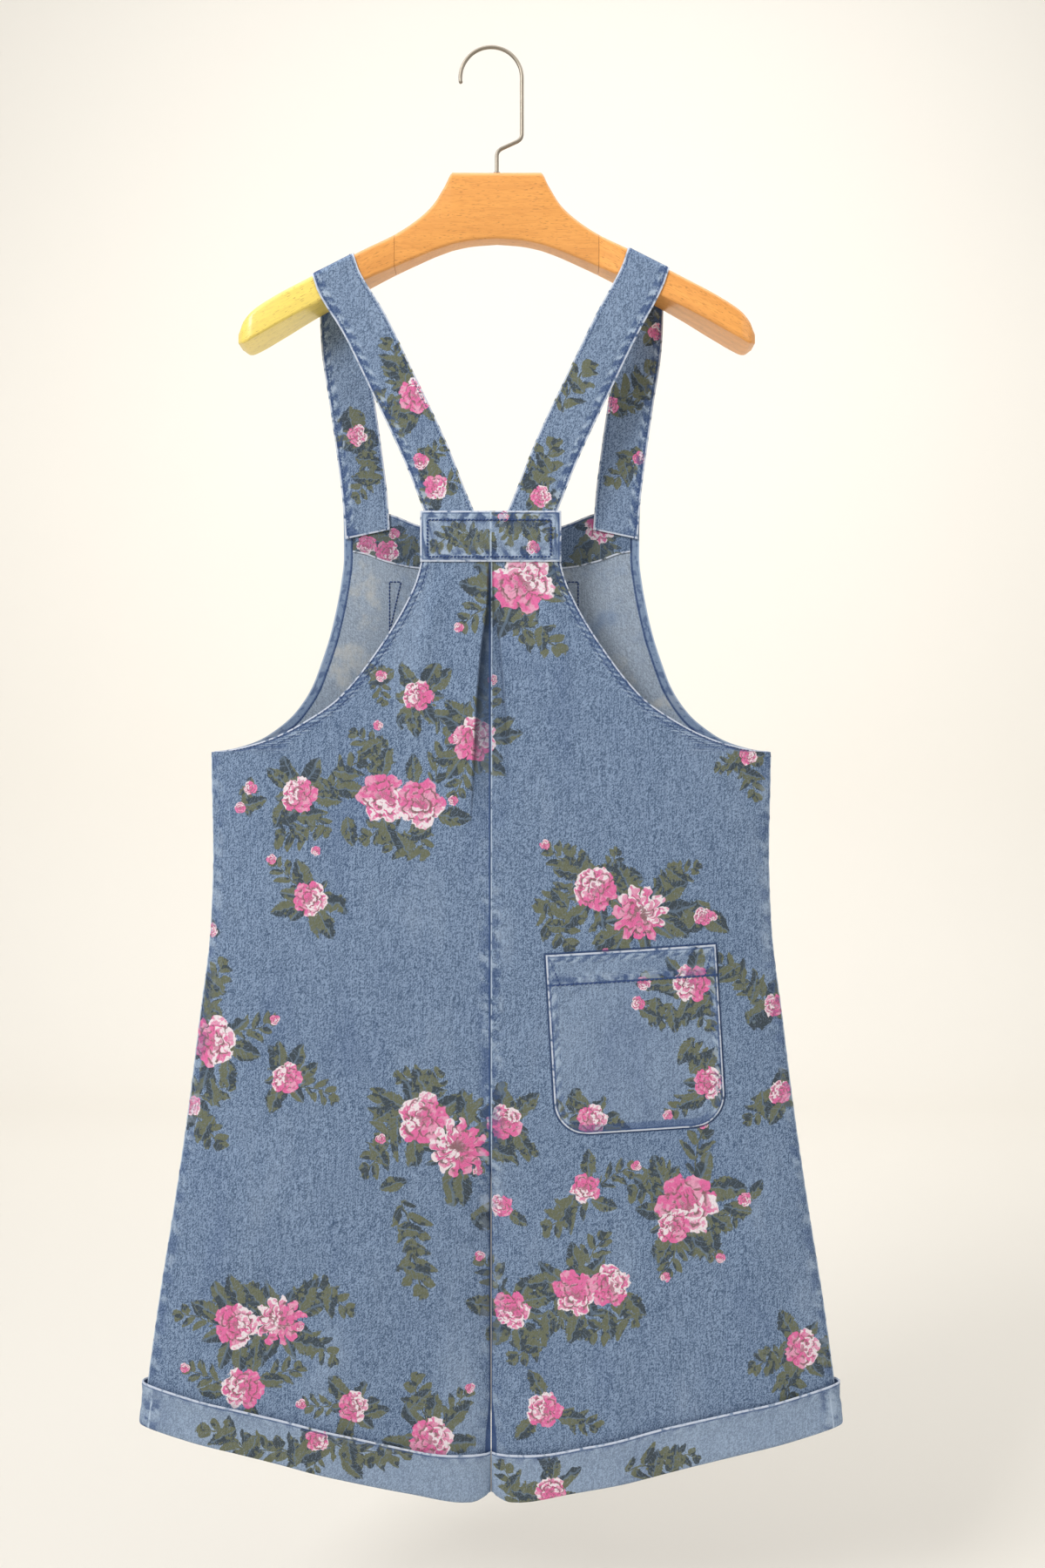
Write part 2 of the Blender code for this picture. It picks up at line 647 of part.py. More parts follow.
def hook(finish):
    """The bent wire: the crown's arc, the straight side, the set-back neck and the stem."""
    crown = WIRE - HOOK_RADIUS
    angles = np.radians(np.linspace(HOOK_END, 0, 22))
    path = list(HOOK_RADIUS * np.stack([np.cos(angles), np.sin(angles)], axis=-1) + (0.0, crown))
    side = np.array([HOOK_RADIUS, HOOK_DROP])
    neck = np.array([HANGER_X, HOOK_NECK])
    stem = np.array([HANGER_X, BLOCK_TOP + SEAM])
    path += bend(path[-1], side, neck, HOOK_BEND)
    path += bend(side, neck, stem, HOOK_BEND)
    path.append(stem)
    curve = bpy.data.curves.new("hanger_hook", "CURVE")
    curve.dimensions = "3D"
    curve.bevel_depth = WIRE
    curve.bevel_resolution = 2
    curve.use_fill_caps = True
    spline = curve.splines.new("POLY")
    spline.points.add(len(path) - 1)
    for point, (x, z) in zip(spline.points, path):
        point.co = (x, 0.0, z, 1.0)
    curve.materials.append(finish)
    piece = bpy.data.objects.new("hanger_hook", curve)
    bpy.context.scene.collection.objects.link(piece)


def collar(finish, sides=16):
    """The washer round the stem, where it enters the block: a ring turned from its four-cornered section."""
    bore = WIRE + SEAM
    foot = BLOCK_TOP + SEAM
    top = foot + COLLAR_HEIGHT
    section = [(bore, foot), (COLLAR_RADIUS, foot), (COLLAR_TOP_RADIUS, top), (bore, top)]
    points, faces = [], []
    for i in range(sides):
        a = 2 * math.pi * i / sides
        points += [(HANGER_X + r * math.cos(a), r * math.sin(a), z) for r, z in section]
        for j in range(4):
            k = (j + 1) % 4
            n = (i + 1) % sides * 4
            faces.append((i * 4 + j, i * 4 + k, n + k, n + j))
    points = np.array(points)
    add_piece("hook_collar", points, facing_out(points, faces), finish)


def build():
    clear_scene()
    denim = material("denim", DENIM, 0.85)
    pale = material("denim_pale", DENIM_PALE, 0.85)
    beech = material("beech", BEECH, 0.5)
    steel = material("steel", STEEL, 0.3, 1.0)
    for hand, word in ((-1, "left"), (1, "right")):
        panel(f"back_{word}", -1, hand, BACK_ARMHOLE, denim)
        panel(f"front_{word}", 1, hand, FRONT_ARMHOLE, denim)
        cuff(f"cuff_{word}", hand, pale)
        strap(f"strap_{word}", hand, denim)
    tab(pale)
    facing(denim)
    pocket("back_pocket", -1, BACK_POCKET, denim)
    pocket("bib_pocket", 1, BIB_POCKET, denim)
    hanger(beech)
    hook(steel)
    collar(steel)


build()
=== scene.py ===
"""Flower-printed denim shortalls hanging on a wooden hanger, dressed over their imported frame.

Metres, in the frame's own axes: +Z up, the garment's back towards -Y, and the origin at the top of the
hollow of the hanger's hook. Each cloth piece is a wall between two grids worked out with numpy. Its printed
face and its pale reverse have a finish each, and stitches are small thread bars laid along the seams.
"""

import math
from collections import namedtuple

import bpy
import numpy as np
from bpy.props import FloatProperty, FloatVectorProperty, PointerProperty
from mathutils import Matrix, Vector


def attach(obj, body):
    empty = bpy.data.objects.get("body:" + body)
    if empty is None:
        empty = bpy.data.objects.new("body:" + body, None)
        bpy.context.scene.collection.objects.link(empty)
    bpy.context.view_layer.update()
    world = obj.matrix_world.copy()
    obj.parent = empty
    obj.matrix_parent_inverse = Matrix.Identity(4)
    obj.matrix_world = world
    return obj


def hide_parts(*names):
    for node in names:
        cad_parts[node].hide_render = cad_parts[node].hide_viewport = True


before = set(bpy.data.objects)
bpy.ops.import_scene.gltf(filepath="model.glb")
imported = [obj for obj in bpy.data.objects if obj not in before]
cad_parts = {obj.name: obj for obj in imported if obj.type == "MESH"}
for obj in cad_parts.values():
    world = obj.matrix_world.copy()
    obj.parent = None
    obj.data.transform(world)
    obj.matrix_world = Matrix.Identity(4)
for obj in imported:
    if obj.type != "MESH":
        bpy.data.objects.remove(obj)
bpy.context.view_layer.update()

bl_info = {
    "name": "Denim shortalls on a hanger",
    "version": (1, 0, 0),
    "blender": (4, 5, 0),
    "location": "3D View > Sidebar > Shortalls",
    "description": "Makes the cloth, stitching, hanger and studio of the shortalls",
    "category": "Add Mesh",
}

MM = 0.001

# Cloth.
WALL = 0.0012
STRAP_WALL = 0.0014
FACING_WALL = 0.0010
CUFF_WALL = 0.0024
SEAM = 0.0003
HEM_BAND = 0.0075
PANEL_TOP = -0.410
UNDERARM = -0.611
FORK_START = -0.935
CROTCH = -1.004
LEG_GAP = 0.0035
LEG_LIFT = 0.0036
INSEAM_EASE = 0.0002
CUFF_ROOM = (-1.165, -1.212)  # the heights between which the legs part to leave room for the cuffs
MOST_MITRE = 0.4
FAR = 0.1  # the distance that stands for no edge or seam near by
LEAST_SLOPE = 0.12
BIB_EASE = 0.05

# Relief: the hems' bands, dents and ripples, and the seams' lap.
WIDE_HEM = 0.009
HEM_RISE = 0.00035
EDGE_DROP = 0.0005
EDGE_ROUND = 0.0012
STITCH_DENT = 0.0003
DENT_REACH = 0.0007
ARMHOLE_LINES = (0.0016, 0.0062)
EDGE_LINE = 0.0018
LAP = 0.0008
LAP_RISE = 0.0005
SEAM_REACH = 0.006
SEAM_PUCKER = 0.00025
WORN_SEAT = (-0.68, -0.80)
PUCKER_WAVES = ((483, 1.0, 0.0), (745, 0.6, 1.7), (297, 0.4, 1.0))  # pace, height, phase


def table(row, *values):
    """Rows with named columns."""
    return tuple(row(*v) for v in values)


# The body: how far each panel's middle stands off the garment's middle plane.
Section = namedtuple("Section", "z half_width back_depth front_depth")
BODY = table(
    Section,
    (-0.390, 0.2425, 0.0145, 0.0210), (-0.500, 0.2425, 0.0170, 0.0212), (-0.611, 0.2425, 0.0200, 0.0208),
    (-0.700, 0.2410, 0.0210, 0.0210), (-0.760, 0.2430, 0.0210, 0.0210), (-0.840, 0.2525, 0.0205, 0.0200),
    (-0.920, 0.2625, 0.0195, 0.0185), (-1.000, 0.2742, 0.0180, 0.0170), (-1.090, 0.2885, 0.0165, 0.0160),
    (-1.200, 0.3035, 0.0160, 0.0155),
)
EdgePoint = namedtuple("EdgePoint", "z half_width")
BACK_ARMHOLE = table(
    EdgePoint,
    (PANEL_TOP, 0.0580), (-0.4300, 0.0580), (-0.4475, 0.0600), (-0.4632, 0.0640), (-0.4840, 0.0732),
    (-0.5063, 0.0860), (-0.5286, 0.1010), (-0.5494, 0.1167), (-0.5680, 0.1345), (-0.5836, 0.1575),
    (-0.5955, 0.1798), (-0.6030, 0.2000), (-0.6080, 0.2210), (UNDERARM, 0.2425),
)
FRONT_ARMHOLE = table(
    EdgePoint,
    (-0.3940, 0.1310), (-0.4150, 0.1303), (-0.4392, 0.1302), (-0.4622, 0.1327), (-0.4852, 0.1369),
    (-0.5082, 0.1423), (-0.5312, 0.1496), (-0.5542, 0.1584), (-0.5772, 0.1737), (-0.5900, 0.1880),
    (-0.6003, 0.2040), (-0.6070, 0.2230), (UNDERARM, 0.2425),
)
Across = namedtuple("Across", "x z")
BIB_TOP = table(
    Across,
    (0.000, -0.4180), (0.035, -0.4165), (0.062, -0.4110), (0.092, -0.4000), (0.131, -0.3940),
)
FACING_FOOT = table(
    Across,
    (0.000, -0.4530), (0.067, -0.4485), (0.093, -0.4430), (0.113, -0.4360), (0.131, -0.4330),
)
HEM = table(
    Across,
    (0.003, -1.2535), (0.016, -1.2583), (0.070, -1.2480), (0.115, -1.2385), (0.180, -1.2225),
    (0.306, -1.1925),
)
CUFF_TOP = table(
    Across,
    (0.003, -1.2170), (0.037, -1.2150), (0.089, -1.2045), (0.142, -1.1915), (0.215, -1.1750),
    (0.306, -1.1542),
)

# The inverted box pleat below the tab, and the soft folds of the back.
Pleat = namedtuple("Pleat", "z fold recess")
PLEAT = table(
    Pleat,
    (-0.4480, 0.0035, 0.0000), (-0.4560, 0.0035, 0.0030), (-0.4850, 0.0045, 0.0060),
    (-0.5150, 0.0086, 0.0070), (-0.5460, 0.0116, 0.0070), (-0.5710, 0.0135, 0.0065),
    (-0.6200, 0.0160, 0.0040), (-0.6800, 0.0180, 0.0000),
)
PLEAT_RISE = 0.0013
DEEPEST = 0.007
Fold = namedtuple("Fold", "x_top z_top x_foot z_foot half_width height")
BACK_FOLDS = table(
    Fold,
    (0.046, -0.452, 0.062, -0.560, 0.010, 0.0022), (-0.040, -0.452, -0.070, -0.570, 0.010, 0.0025),
    (-0.100, -1.010, -0.150, -1.240, 0.026, 0.0030), (0.085, -1.020, 0.110, -1.240, 0.026, 0.0030),
    (0.215, -0.960, 0.245, -1.210, 0.024, 0.0025), (-0.225, -0.980, -0.250, -1.215, 0.022, 0.0022),
)

TAB_HALF_WIDTH = 0.0605
TAB_TOP = -0.4045
TAB_FOOT = -0.4480
TAB_SINK = -0.4300
TAB_RIDGE = 0.0012
TAB_BOX = ((-0.0541, -0.4125), (0.0515, -0.4125), (0.0515, -0.4440), (-0.0541, -0.4440), (-0.0541, -0.4125))

Pocket = namedtuple("Pocket", "x z width height corner tilt")
BACK_POCKET = Pocket(0.1245, -0.8580, 0.1460, 0.1550, 0.028, 3.4)
BIB_POCKET = Pocket(0.0, -0.5360, 0.1660, 0.1580, 0.012, 0.0)
POCKET_HEM = 0.0262
BIB_TACKS = (  # seen inside the bib: the seam down each side of its pocket, and the corner's triangle
    ((-0.0900, -0.6000), (-0.0900, -0.4605), (-0.0800, -0.4605), (-0.0888, -0.4990)),
    ((0.0764, -0.6000), (0.0764, -0.4605), (0.0664, -0.4605), (0.0752, -0.4990)),
)

STRAP_WIDTH = 0.040
Station = namedtuple("Station", "x y z tilt")
STRAP_BACK_RUN = table(
    Station,
    (0.0290, -0.0163, -0.4200, 25), (0.0365, -0.0166, -0.4030, 25), (0.0557, -0.0172, -0.3546, 26),
    (0.0837, -0.0180, -0.2950, 27), (0.1085, -0.0188, -0.2440, 28),
)
STRAP_FRONT_RUN = table(
    Station,
    (0.1322, 0.0206, -0.2300, 19), (0.1300, 0.0196, -0.2550, 10), (0.1232, 0.0184, -0.3000, 7),
    (0.1168, 0.0177, -0.3440, 7), (0.1115, 0.0170, -0.3860, 8), (0.1090, 0.0169, -0.4190, 12),
)
STRAP_EASE = 0.010
SADDLE_X = 0.1357
SADDLE_LEAN = 0.0045
SADDLE_DROP = 0.0160

HANGER_X = 0.005
Arm = namedtuple("Arm", "reach top foot half_depth")
ARM = table(
    Arm,
    (0.0000, -0.1095, -0.1675, 0.0100), (0.0200, -0.1095, -0.1690, 0.0101),
    (0.0380, -0.1095, -0.1725, 0.0104), (0.0450, -0.1215, -0.1748, 0.0106),
    (0.0550, -0.1375, -0.1785, 0.0110), (0.0690, -0.1510, -0.1845, 0.0118),
    (0.0880, -0.1640, -0.1930, 0.0130), (0.1120, -0.1768, -0.2045, 0.0160),
    (0.1610, -0.2036, -0.2300, 0.0205), (0.1900, -0.2200, -0.2468, 0.0230),
    (0.2080, -0.2320, -0.2570, 0.0235), (0.2170, -0.2410, -0.2610, 0.0205),
    (0.2225, -0.2500, -0.2590, 0.0120),
)
ARM_SLOPE = math.atan2(0.0268, 0.0490)
JOINT_REACH = 0.0880
ARM_CORNER = 0.0060
ARM_EDGE = 0.0025
ARM_TIP = 0.0055

WIRE = 0.00165
HOOK_RADIUS = 0.0267
HOOK_END = 191
HOOK_DROP = -0.0785
HOOK_NECK = -0.0885
HOOK_BEND = 0.005
DOME_RINGS = 5
DOME_LENGTH = 0.9
COLLAR_REACH = 0.0024
COLLAR_ROUND = 0.0008
COLLAR_HEIGHT = 0.0020

HANDS = ((-1, "left"), (1, "right"))

# The studio.
CAMERA_X = 0.02725
CAMERA_Z = -0.6386
FLOOR = -1.42
NEAR_END = -4.0
SWEEP_START = 2.4
SWEEP_BEND = 0.8
SWEEP_HALF_WIDTH = 5.0
WALL_TOP = 3.4

# The print, in millimetres: where the blooms lie on each part, and where their leaves reach.
Bloom = namedtuple("Bloom", "x z radius petals")
BACK_BLOOMS = table(
    Bloom,
    (-62, -563, 13, 5), (-14, -601, 19, 6), (-92, -650, 21, 6), (-60, -655, 21, 5), (-164, -648, 15, 5),
    (-207, -642, 6, 3), (-216, -659, 5, 3), (-155, -737, 15, 5), (-94, -546, 5, 3), (27, -466, 26, 6),
    (222, -614, 8, 4), (90, -728, 19, 5), (128, -750, 24, 11), (182, -752, 8, 4), (245, -830, 10, 4),
    (250, -905, 10, 4), (-240, -861, 21, 6), (-175, -891, 13, 5), (-259, -917, 9, 4), (-242, -765, 6, 3),
    (-58, -925, 21, 5), (-28, -951, 25, 12), (12, -928, 15, 5), (9, -1003, 10, 4), (168, -999, 26, 6),
    (157, -1018, 14, 5), (81, -985, 13, 5), (218, -995, 6, 3), (72, -1075, 19, 6), (102, -1069, 18, 5),
    (18, -1092, 16, 5), (46, -1177, 15, 5), (269, -1125, 16, 6), (-181, -1099, 21, 11),
    (-219, -1103, 19, 5), (-213, -1157, 18, 6), (-118, -1172, 13, 5), (-51, -1203, 19, 6),
)
BACK_LEAVES = (
    (-110, -602), (-95, -612), (-147, -672), (-173, -683), (-84, -691), (-94, -556), (27, -505), (52, -518),
    (72, -702), (154, -720), (168, -713), (61, -769), (198, -795), (220, -809), (228, -921), (-236, -802),
    (-244, -824), (-233, -899), (-240, -943), (-69, -891), (-47, -895), (-99, -965), (-77, -988),
    (-66, -1030), (-62, -1066), (150, -969), (57, -1017), (206, -1010), (94, -1107), (42, -1107),
    (27, -1129), (243, -1129), (258, -1159), (-63, -1159), (-150, -1072), (-130, -1086), (205, -622),
    (226, -640), (-118, -622), (-132, -640), (-60, -690), (-112, -682), (104, -706), (50, -738),
    (-88, -940), (-92, -912), (190, -1018), (130, -986), (58, -1098), (120, -1092), (-200, -1078),
    (-160, -1118),
)
CUFF_BLOOMS = table(Bloom, (-148, -1199, 10, 4), (52, -1246, 13, 5))
CUFF_LEAVES = (
    (-236, -1192), (-214, -1208), (-176, -1206), (-150, -1218), (-120, -1234), (-112, -1212), (-82, -1210),
    (14, -1234), (26, -1252), (150, -1218), (166, -1214),
)
POCKET_BLOOMS = table(
    Bloom,
    (172, -809, 16, 6), (187, -895, 13, 5), (87, -926, 13, 5), (131, -809, 6, 3), (126, -826, 6, 3),
)
POCKET_LEAVES = ((165, -843), (150, -838), (176, -869), (158, -868), (184, -838))
TAB_BLOOMS = table(Bloom, (11, -409, 5, 3), (36, -436, 6, 3))
TAB_LEAVES = ((-40, -430), (-22, -424), (-8, -438), (14, -420), (28, -414), (44, -420))
STRAP_BACK_BLOOMS = table(
    Bloom,
    (-64, -306, 15, 6), (-47, -384, 11, 4), (-60, -362, 7, 3), (43, -392, 9, 4),
)
STRAP_BACK_LEAVES = (
    (-84, -269), (-81, -291), (-92, -314), (-74, -328), (-46, -352), (-34, -378), (76, -287), (50, -355),
    (35, -384),
)
STRAP_FRONT_BLOOMS = table(
    Bloom,
    (-118, -332, 9, 4), (146, -240, 8, 4), (104, -305, 8, 4), (130, -352, 6, 3),
)
STRAP_FRONT_LEAVES = ((-111, -347), (-115, -378), (-106, -362), (135, -278), (119, -305), (112, -368))
FACING_BLOOMS = table(
    Bloom,
    (-110, -428, 9, 5), (-92, -434, 10, 5), (-86, -418, 5, 3), (96, -413, 13, 6), (-125, -406, 4, 3),
)
FACING_LEAVES = ((-80, -424), (-66, -438), (88, -436), (72, -448), (104, -428))
FRONT_BLOOMS = table(
    Bloom,
    (-88, -470, 18, 6), (-118, -486, 13, 5), (104, -560, 22, 11), (74, -572, 17, 5), (-172, -640, 20, 6),
    (-140, -652, 16, 5), (10, -668, 24, 6), (-22, -690, 17, 11), (176, -700, 19, 5), (206, -716, 13, 5),
    (-96, -772, 23, 11), (-66, -790, 18, 5), (-214, -806, 15, 5), (84, -812, 21, 6), (118, -826, 15, 5),
    (214, -872, 20, 6), (-10, -868, 14, 5), (-152, -900, 20, 5), (-182, -916, 16, 6), (70, -934, 22, 11),
    (-60, -984, 18, 6), (160, -986, 18, 5), (132, -1000, 14, 5), (-226, -1004, 17, 6), (-118, -1062, 22, 6),
    (44, -1064, 16, 5), (222, -1066, 22, 11), (-40, -1116, 17, 5), (112, -1124, 20, 6),
    (-196, -1112, 18, 5), (-84, -1180, 16, 5), (52, -1186, 15, 6), (206, -1150, 15, 5),
)
FRONT_LEAVES = (
    (-60, -486), (-102, -506), (128, -586), (48, -556), (-204, -658), (-120, -630), (44, -650), (-54, -706),
    (152, -684), (226, -740), (-124, -752), (-40, -810), (-232, -830), (52, -798), (146, -846), (190, -892),
    (-126, -882), (-206, -936), (104, -950), (40, -918), (-84, -1004), (188, -974), (-88, -1042),
    (70, -1048), (246, -1042), (-62, -1136), (140, -1144), (-222, -1130), (-110, -1196), (28, -1204),
)
FRONT_CUFF_BLOOMS = table(Bloom, (-180, -1206, 12, 5), (92, -1222, 14, 6), (240, -1190, 10, 5))
FRONT_CUFF_LEAVES = ((-202, -1198), (-156, -1214), (-60, -1232), (116, -1212), (66, -1232), (220, -1200))
BIB_POCKET_BLOOMS = table(Bloom, (-40, -516, 20, 6), (-10, -530, 17, 11), (48, -586, 16, 5))
BIB_POCKET_LEAVES = ((-64, -500), (16, -512), (-28, -552), (64, -570), (28, -602), (-62, -590), (60, -486))

Motif = namedtuple("Motif", "x z length turn girth seed layers")
BLOOM_LAYERS = ("bloom_a", "bloom_b")
ROSETTE_LAYERS = ("rosette_a", "rosette_b")
LEAF_LAYERS = ("leaf_a", "leaf_b", "leaf_c")
SPRAY_LAYERS = ("spray_a", "spray_b", "spray_c")
LAYER_SHIFT = 5.0  # a layer holds a motif's own coordinates moved by this, and 0 where it has none
LARGEST_FACE = 0.1
APART = 1.0
STEM_LENGTH = 44
SPRAY_LENGTH = 32
BUD = 7
BUD_SIZE = 0.005
TURN = 6.28
PER_TURN = 0.159155
KEY_WEIGHTS = (12.9898, 78.233, 37.719)
SPREAD = 43758.5
LEAF_GIRTH = 0.58
SPRAY_GIRTH = 0.80
Growth = namedtuple("Growth", "over lobes leaves sprays")  # round a bloom over this radius
GROWTH = table(Growth, (17, 8, 4, 2), (11, 6, 3, 1), (0, 3, 1, 0))
PetalRing = namedtuple("PetalRing", "reach fewer scallop")
PETAL_RINGS = table(PetalRing, (0.90, 0, 0.22), (0.62, 1, 0.30), (0.34, 2, 0.34))


# The user's settings.


def colour(name, default, description):
    return FloatVectorProperty(
        name=name, description=description, default=default, subtype="COLOR", size=3, min=0, max=1
    )


def number(name, default, description, unit="LENGTH", **limits):
    return FloatProperty(name=name, description=description, default=default, unit=unit, **limits)


class ClothSettings(bpy.types.PropertyGroup):
    # Indigo also paints shade: the shadow line between the legs and the line just outside each pocket.
    indigo: colour("Indigo", (0.036, 0.072, 0.185), "The darkest yarns and the unworn side of each seam")
    denim: colour("Denim", (0.136, 0.220, 0.380), "The washed blue of the printed side")
    faded: colour("Faded", (0.440, 0.535, 0.665), "Where the seams and hems have worn pale")
    reverse: colour("Reverse", (0.300, 0.358, 0.440), "The unprinted inside of the cloth")
    stain: colour("Stain", (0.560, 0.545, 0.490), "The cream mottling of the inside")
    pink: colour("Pink", (0.760, 0.150, 0.360), "The blooms' petals")
    petal: colour("Petal light", (0.860, 0.800, 0.820), "The pale strokes in the blooms")
    olive: colour("Olive", (0.142, 0.153, 0.096), "The leaves and stems")
    shade: colour("Leaf shade", (0.040, 0.055, 0.075), "The dark strokes in the leaves")
    thread: colour("Thread", (0.030, 0.062, 0.175), "The dark blue sewing thread")
    stitch_pitch: number("Stitch pitch", 0.0031, "From one stitch to the next", min=0.0015, max=0.01)
    pucker: number("Pucker", 0.00030, "How high the hems' small ripples stand", min=0, max=0.0015)


class HangerSettings(bpy.types.PropertyGroup):
    beech: colour("Beech", (0.820, 0.360, 0.080), "The varnished wood")
    beech_dark: colour("Beech grain", (0.640, 0.250, 0.048), "The wood's darker grain")
    sapwood: colour("Sapwood", (0.960, 0.730, 0.150), "The yellower wood of the left arm's end")
    steel: colour("Steel", (0.330, 0.290, 0.235), "The hook's wire")


class StageSettings(bpy.types.PropertyGroup):
    paper: colour("Backdrop", (0.895, 0.858, 0.790), "The floor and the sweep behind")
    distance: number("Camera distance", 1.350, "From the lens to the hanger's plane", min=0.5, max=5.0)
    lens: number("Lens", 35.67, "Focal length", "CAMERA", min=15, max=200)
    key: number("Key light", 90, "The soft light's power", "POWER", min=0)
    fill: number("Fill light", 21, "The second light's power", "POWER", min=0)
    air: number("Surroundings", 0.44, "How bright the white surroundings are", "NONE", min=0, max=3)


# Shader maths.


def maths(operation, swapped=False):
    """A Python operator on shader numbers, which adds this Math node."""

    def method(value, other):
        return value.net.math(operation, *((other, value) if swapped else (value, other)))

    return method


class Value:
    """A shader's number, with Python's arithmetic: each operation adds its Math node."""

    def __init__(self, net, socket):
        self.net, self.socket = net, socket

    def __abs__(self):
        return self.net.math("ABSOLUTE", self)

    __add__ = __radd__ = maths("ADD")
    __mul__ = __rmul__ = maths("MULTIPLY")
    __sub__ = maths("SUBTRACT")
    __rsub__ = maths("SUBTRACT", swapped=True)
    __truediv__ = maths("DIVIDE")
    __pow__ = maths("POWER")
    __gt__ = maths("GREATER_THAN")
    __lt__ = maths("LESS_THAN")


class Net:
    """A material's nodes. node() makes any of them, and the rest are the ones used most."""

    def __init__(self, name):
        self.material = bpy.data.materials.new(name)
        self.material.use_nodes = True
        self.tree = self.material.node_tree
        self.shader = self.tree.nodes["Principled BSDF"]

    def plug(self, socket, value):
        if isinstance(value, Value):
            self.tree.links.new(value.socket, socket)
        elif socket.type == "RGBA":
            socket.default_value = (*value, 1.0)
        else:
            socket.default_value = value

    def node(self, kind, settings, inputs, output=0):
        made = self.tree.nodes.new("ShaderNode" + kind)
        for key, value in settings.items():
            setattr(made, key, value)
        for key, value in inputs.items():
            self.plug(made.inputs[key], value)
        return Value(self, made.outputs[output])

    def math(self, operation, *values):
        return self.node("Math", {"operation": operation}, dict(enumerate(values)))

    def fract(self, value):
        return self.math("FRACT", value)

    def least(self, a, b):
        return self.math("MINIMUM", a, b)

    def most(self, a, b):
        return self.math("MAXIMUM", a, b)

    def ramp(self, value, low, high):
        """0 below low, 1 above high, and a smooth turn between them; high may be the lower one."""
        settings = {"interpolation_type": "SMOOTHSTEP"}
        return self.node("MapRange", settings, {"Value": value, "From Min": low, "From Max": high})

    def mix(self, factor, a, b):
        return self.node("Mix", {"data_type": "RGBA"}, {0: factor, 6: a, 7: b}, 2)

    def mixes(self, tone, *layers):
        """A tone with each layer's colour laid over it in turn, by that layer's share."""
        for share, over in layers:
            tone = self.mix(share, tone, over)
        return tone

    def bump(self, height, strength, distance):
        values = {"Strength": strength, "Distance": distance, "Height": height}
        return self.node("Bump", {}, values, "Normal")

    def place(self):
        return self.node("TexCoord", {}, {}, "Object")

    def parts(self, vector):
        split = self.tree.nodes.new("ShaderNodeSeparateXYZ")
        self.plug(split.inputs[0], vector)
        return [Value(self, socket) for socket in split.outputs]

    def attribute(self, name):
        return self.parts(self.node("Attribute", {"attribute_name": name}, {}, "Vector"))

    def motif(self, layer):
        """A motif's own coordinates in this layer, its seed, and 1 where the layer holds one."""
        u, v, seed = self.attribute(layer)
        return u - LAYER_SHIFT, v - LAYER_SHIFT, seed, u > 1.0

    def polar(self, x, y):
        """The distance from the middle, and the share of a turn round it."""
        return self.math("SQRT", x * x + y * y), self.math("ARCTAN2", y, x) * PER_TURN

    def vector(self, x, y, z):
        return self.node("CombineXYZ", {}, {0: x, 1: y, 2: z})

    def noise(self, vector, scale, detail=1.0, rough=0.5):
        values = {"Vector": vector, "Scale": scale, "Detail": detail, "Roughness": rough}
        return self.node("TexNoise", {}, values)

    def streaks(self, vector, sizes, turn=(0, 0, 0), detail=1.0, rough=0.5):
        """Noise whose grain has these sizes in metres, turned."""
        values = {"Vector": vector, "Scale": sizes, "Rotation": turn}
        return self.noise(self.node("Mapping", {"vector_type": "TEXTURE"}, values), 1.0, detail, rough)

    def finish(self, **values):
        for key, value in values.items():
            self.plug(self.shader.inputs[key.replace("_", " ")], value)
        return self.material


# Shapes.


def run_along(points):
    """How far along a path each of its points is."""
    return np.concatenate([[0], np.cumsum(np.linalg.norm(np.diff(points, axis=0), axis=1))])


def smooth_through(keys, values, at):
    """A cubic through the points with harmonic-mean slopes, so that it never overshoots them."""
    keys, values = np.asarray(keys, float), np.asarray(values, float)
    step = np.diff(keys)
    slope = np.diff(values) / step
    turn = np.zeros_like(values)
    same = slope[1:] * slope[:-1] > 0
    both = np.where(same, slope[1:] + slope[:-1], 1.0)
    turn[1:-1] = np.where(same, 2 * slope[1:] * slope[:-1] / both, 0.0)
    turn[0], turn[-1] = slope[0], slope[-1]
    at = np.clip(at, keys[0], keys[-1])
    i = np.clip(np.searchsorted(keys, at, side="right") - 1, 0, len(step) - 1)
    t = (at - keys[i]) / step[i]
    rise = values[i + 1] - values[i]
    return (
        values[i]
        + rise * t * t * (3 - 2 * t)
        + step[i] * (turn[i] * t * (1 - t) ** 2 - turn[i + 1] * t * t * (1 - t))
    )


def along(table, key, value, at):
    """A column of a table read at any key, smoothly."""
    rows = sorted(table, key=lambda row: getattr(row, key))
    keys = [getattr(row, key) for row in rows]
    return smooth_through(keys, [getattr(row, value) for row in rows], at)


def smooth(start, end, at):
    t = np.clip((at - start) / (end - start), 0, 1)
    return t * t * (3 - 2 * t)


def leg_share(z):
    return smooth(FORK_START, CROTCH, z)


def inner_edge(z):
    """Half the gap between the legs. They all but touch down to the cuffs, which need their room."""
    return SEAM / 2 + leg_share(z) * INSEAM_EASE + smooth(*CUFF_ROOM, z) * LEG_GAP


def side_edge(z):
    return along(BODY, "z", "half_width", z)


def ridge(x, z):
    """Rounded ridges that run down the cloth and fade at both ends."""
    height = np.zeros_like(x)
    for fold in BACK_FOLDS:
        t = (z - fold.z_top) / (fold.z_foot - fold.z_top)
        middle = fold.x_top + (fold.x_foot - fold.x_top) * t
        fade = smooth(0.0, 0.35, t) * (1 - smooth(0.75, 1.25, t))
        height += fold.height * fade * np.exp(-(((x - middle) / fold.half_width) ** 2))
    return height


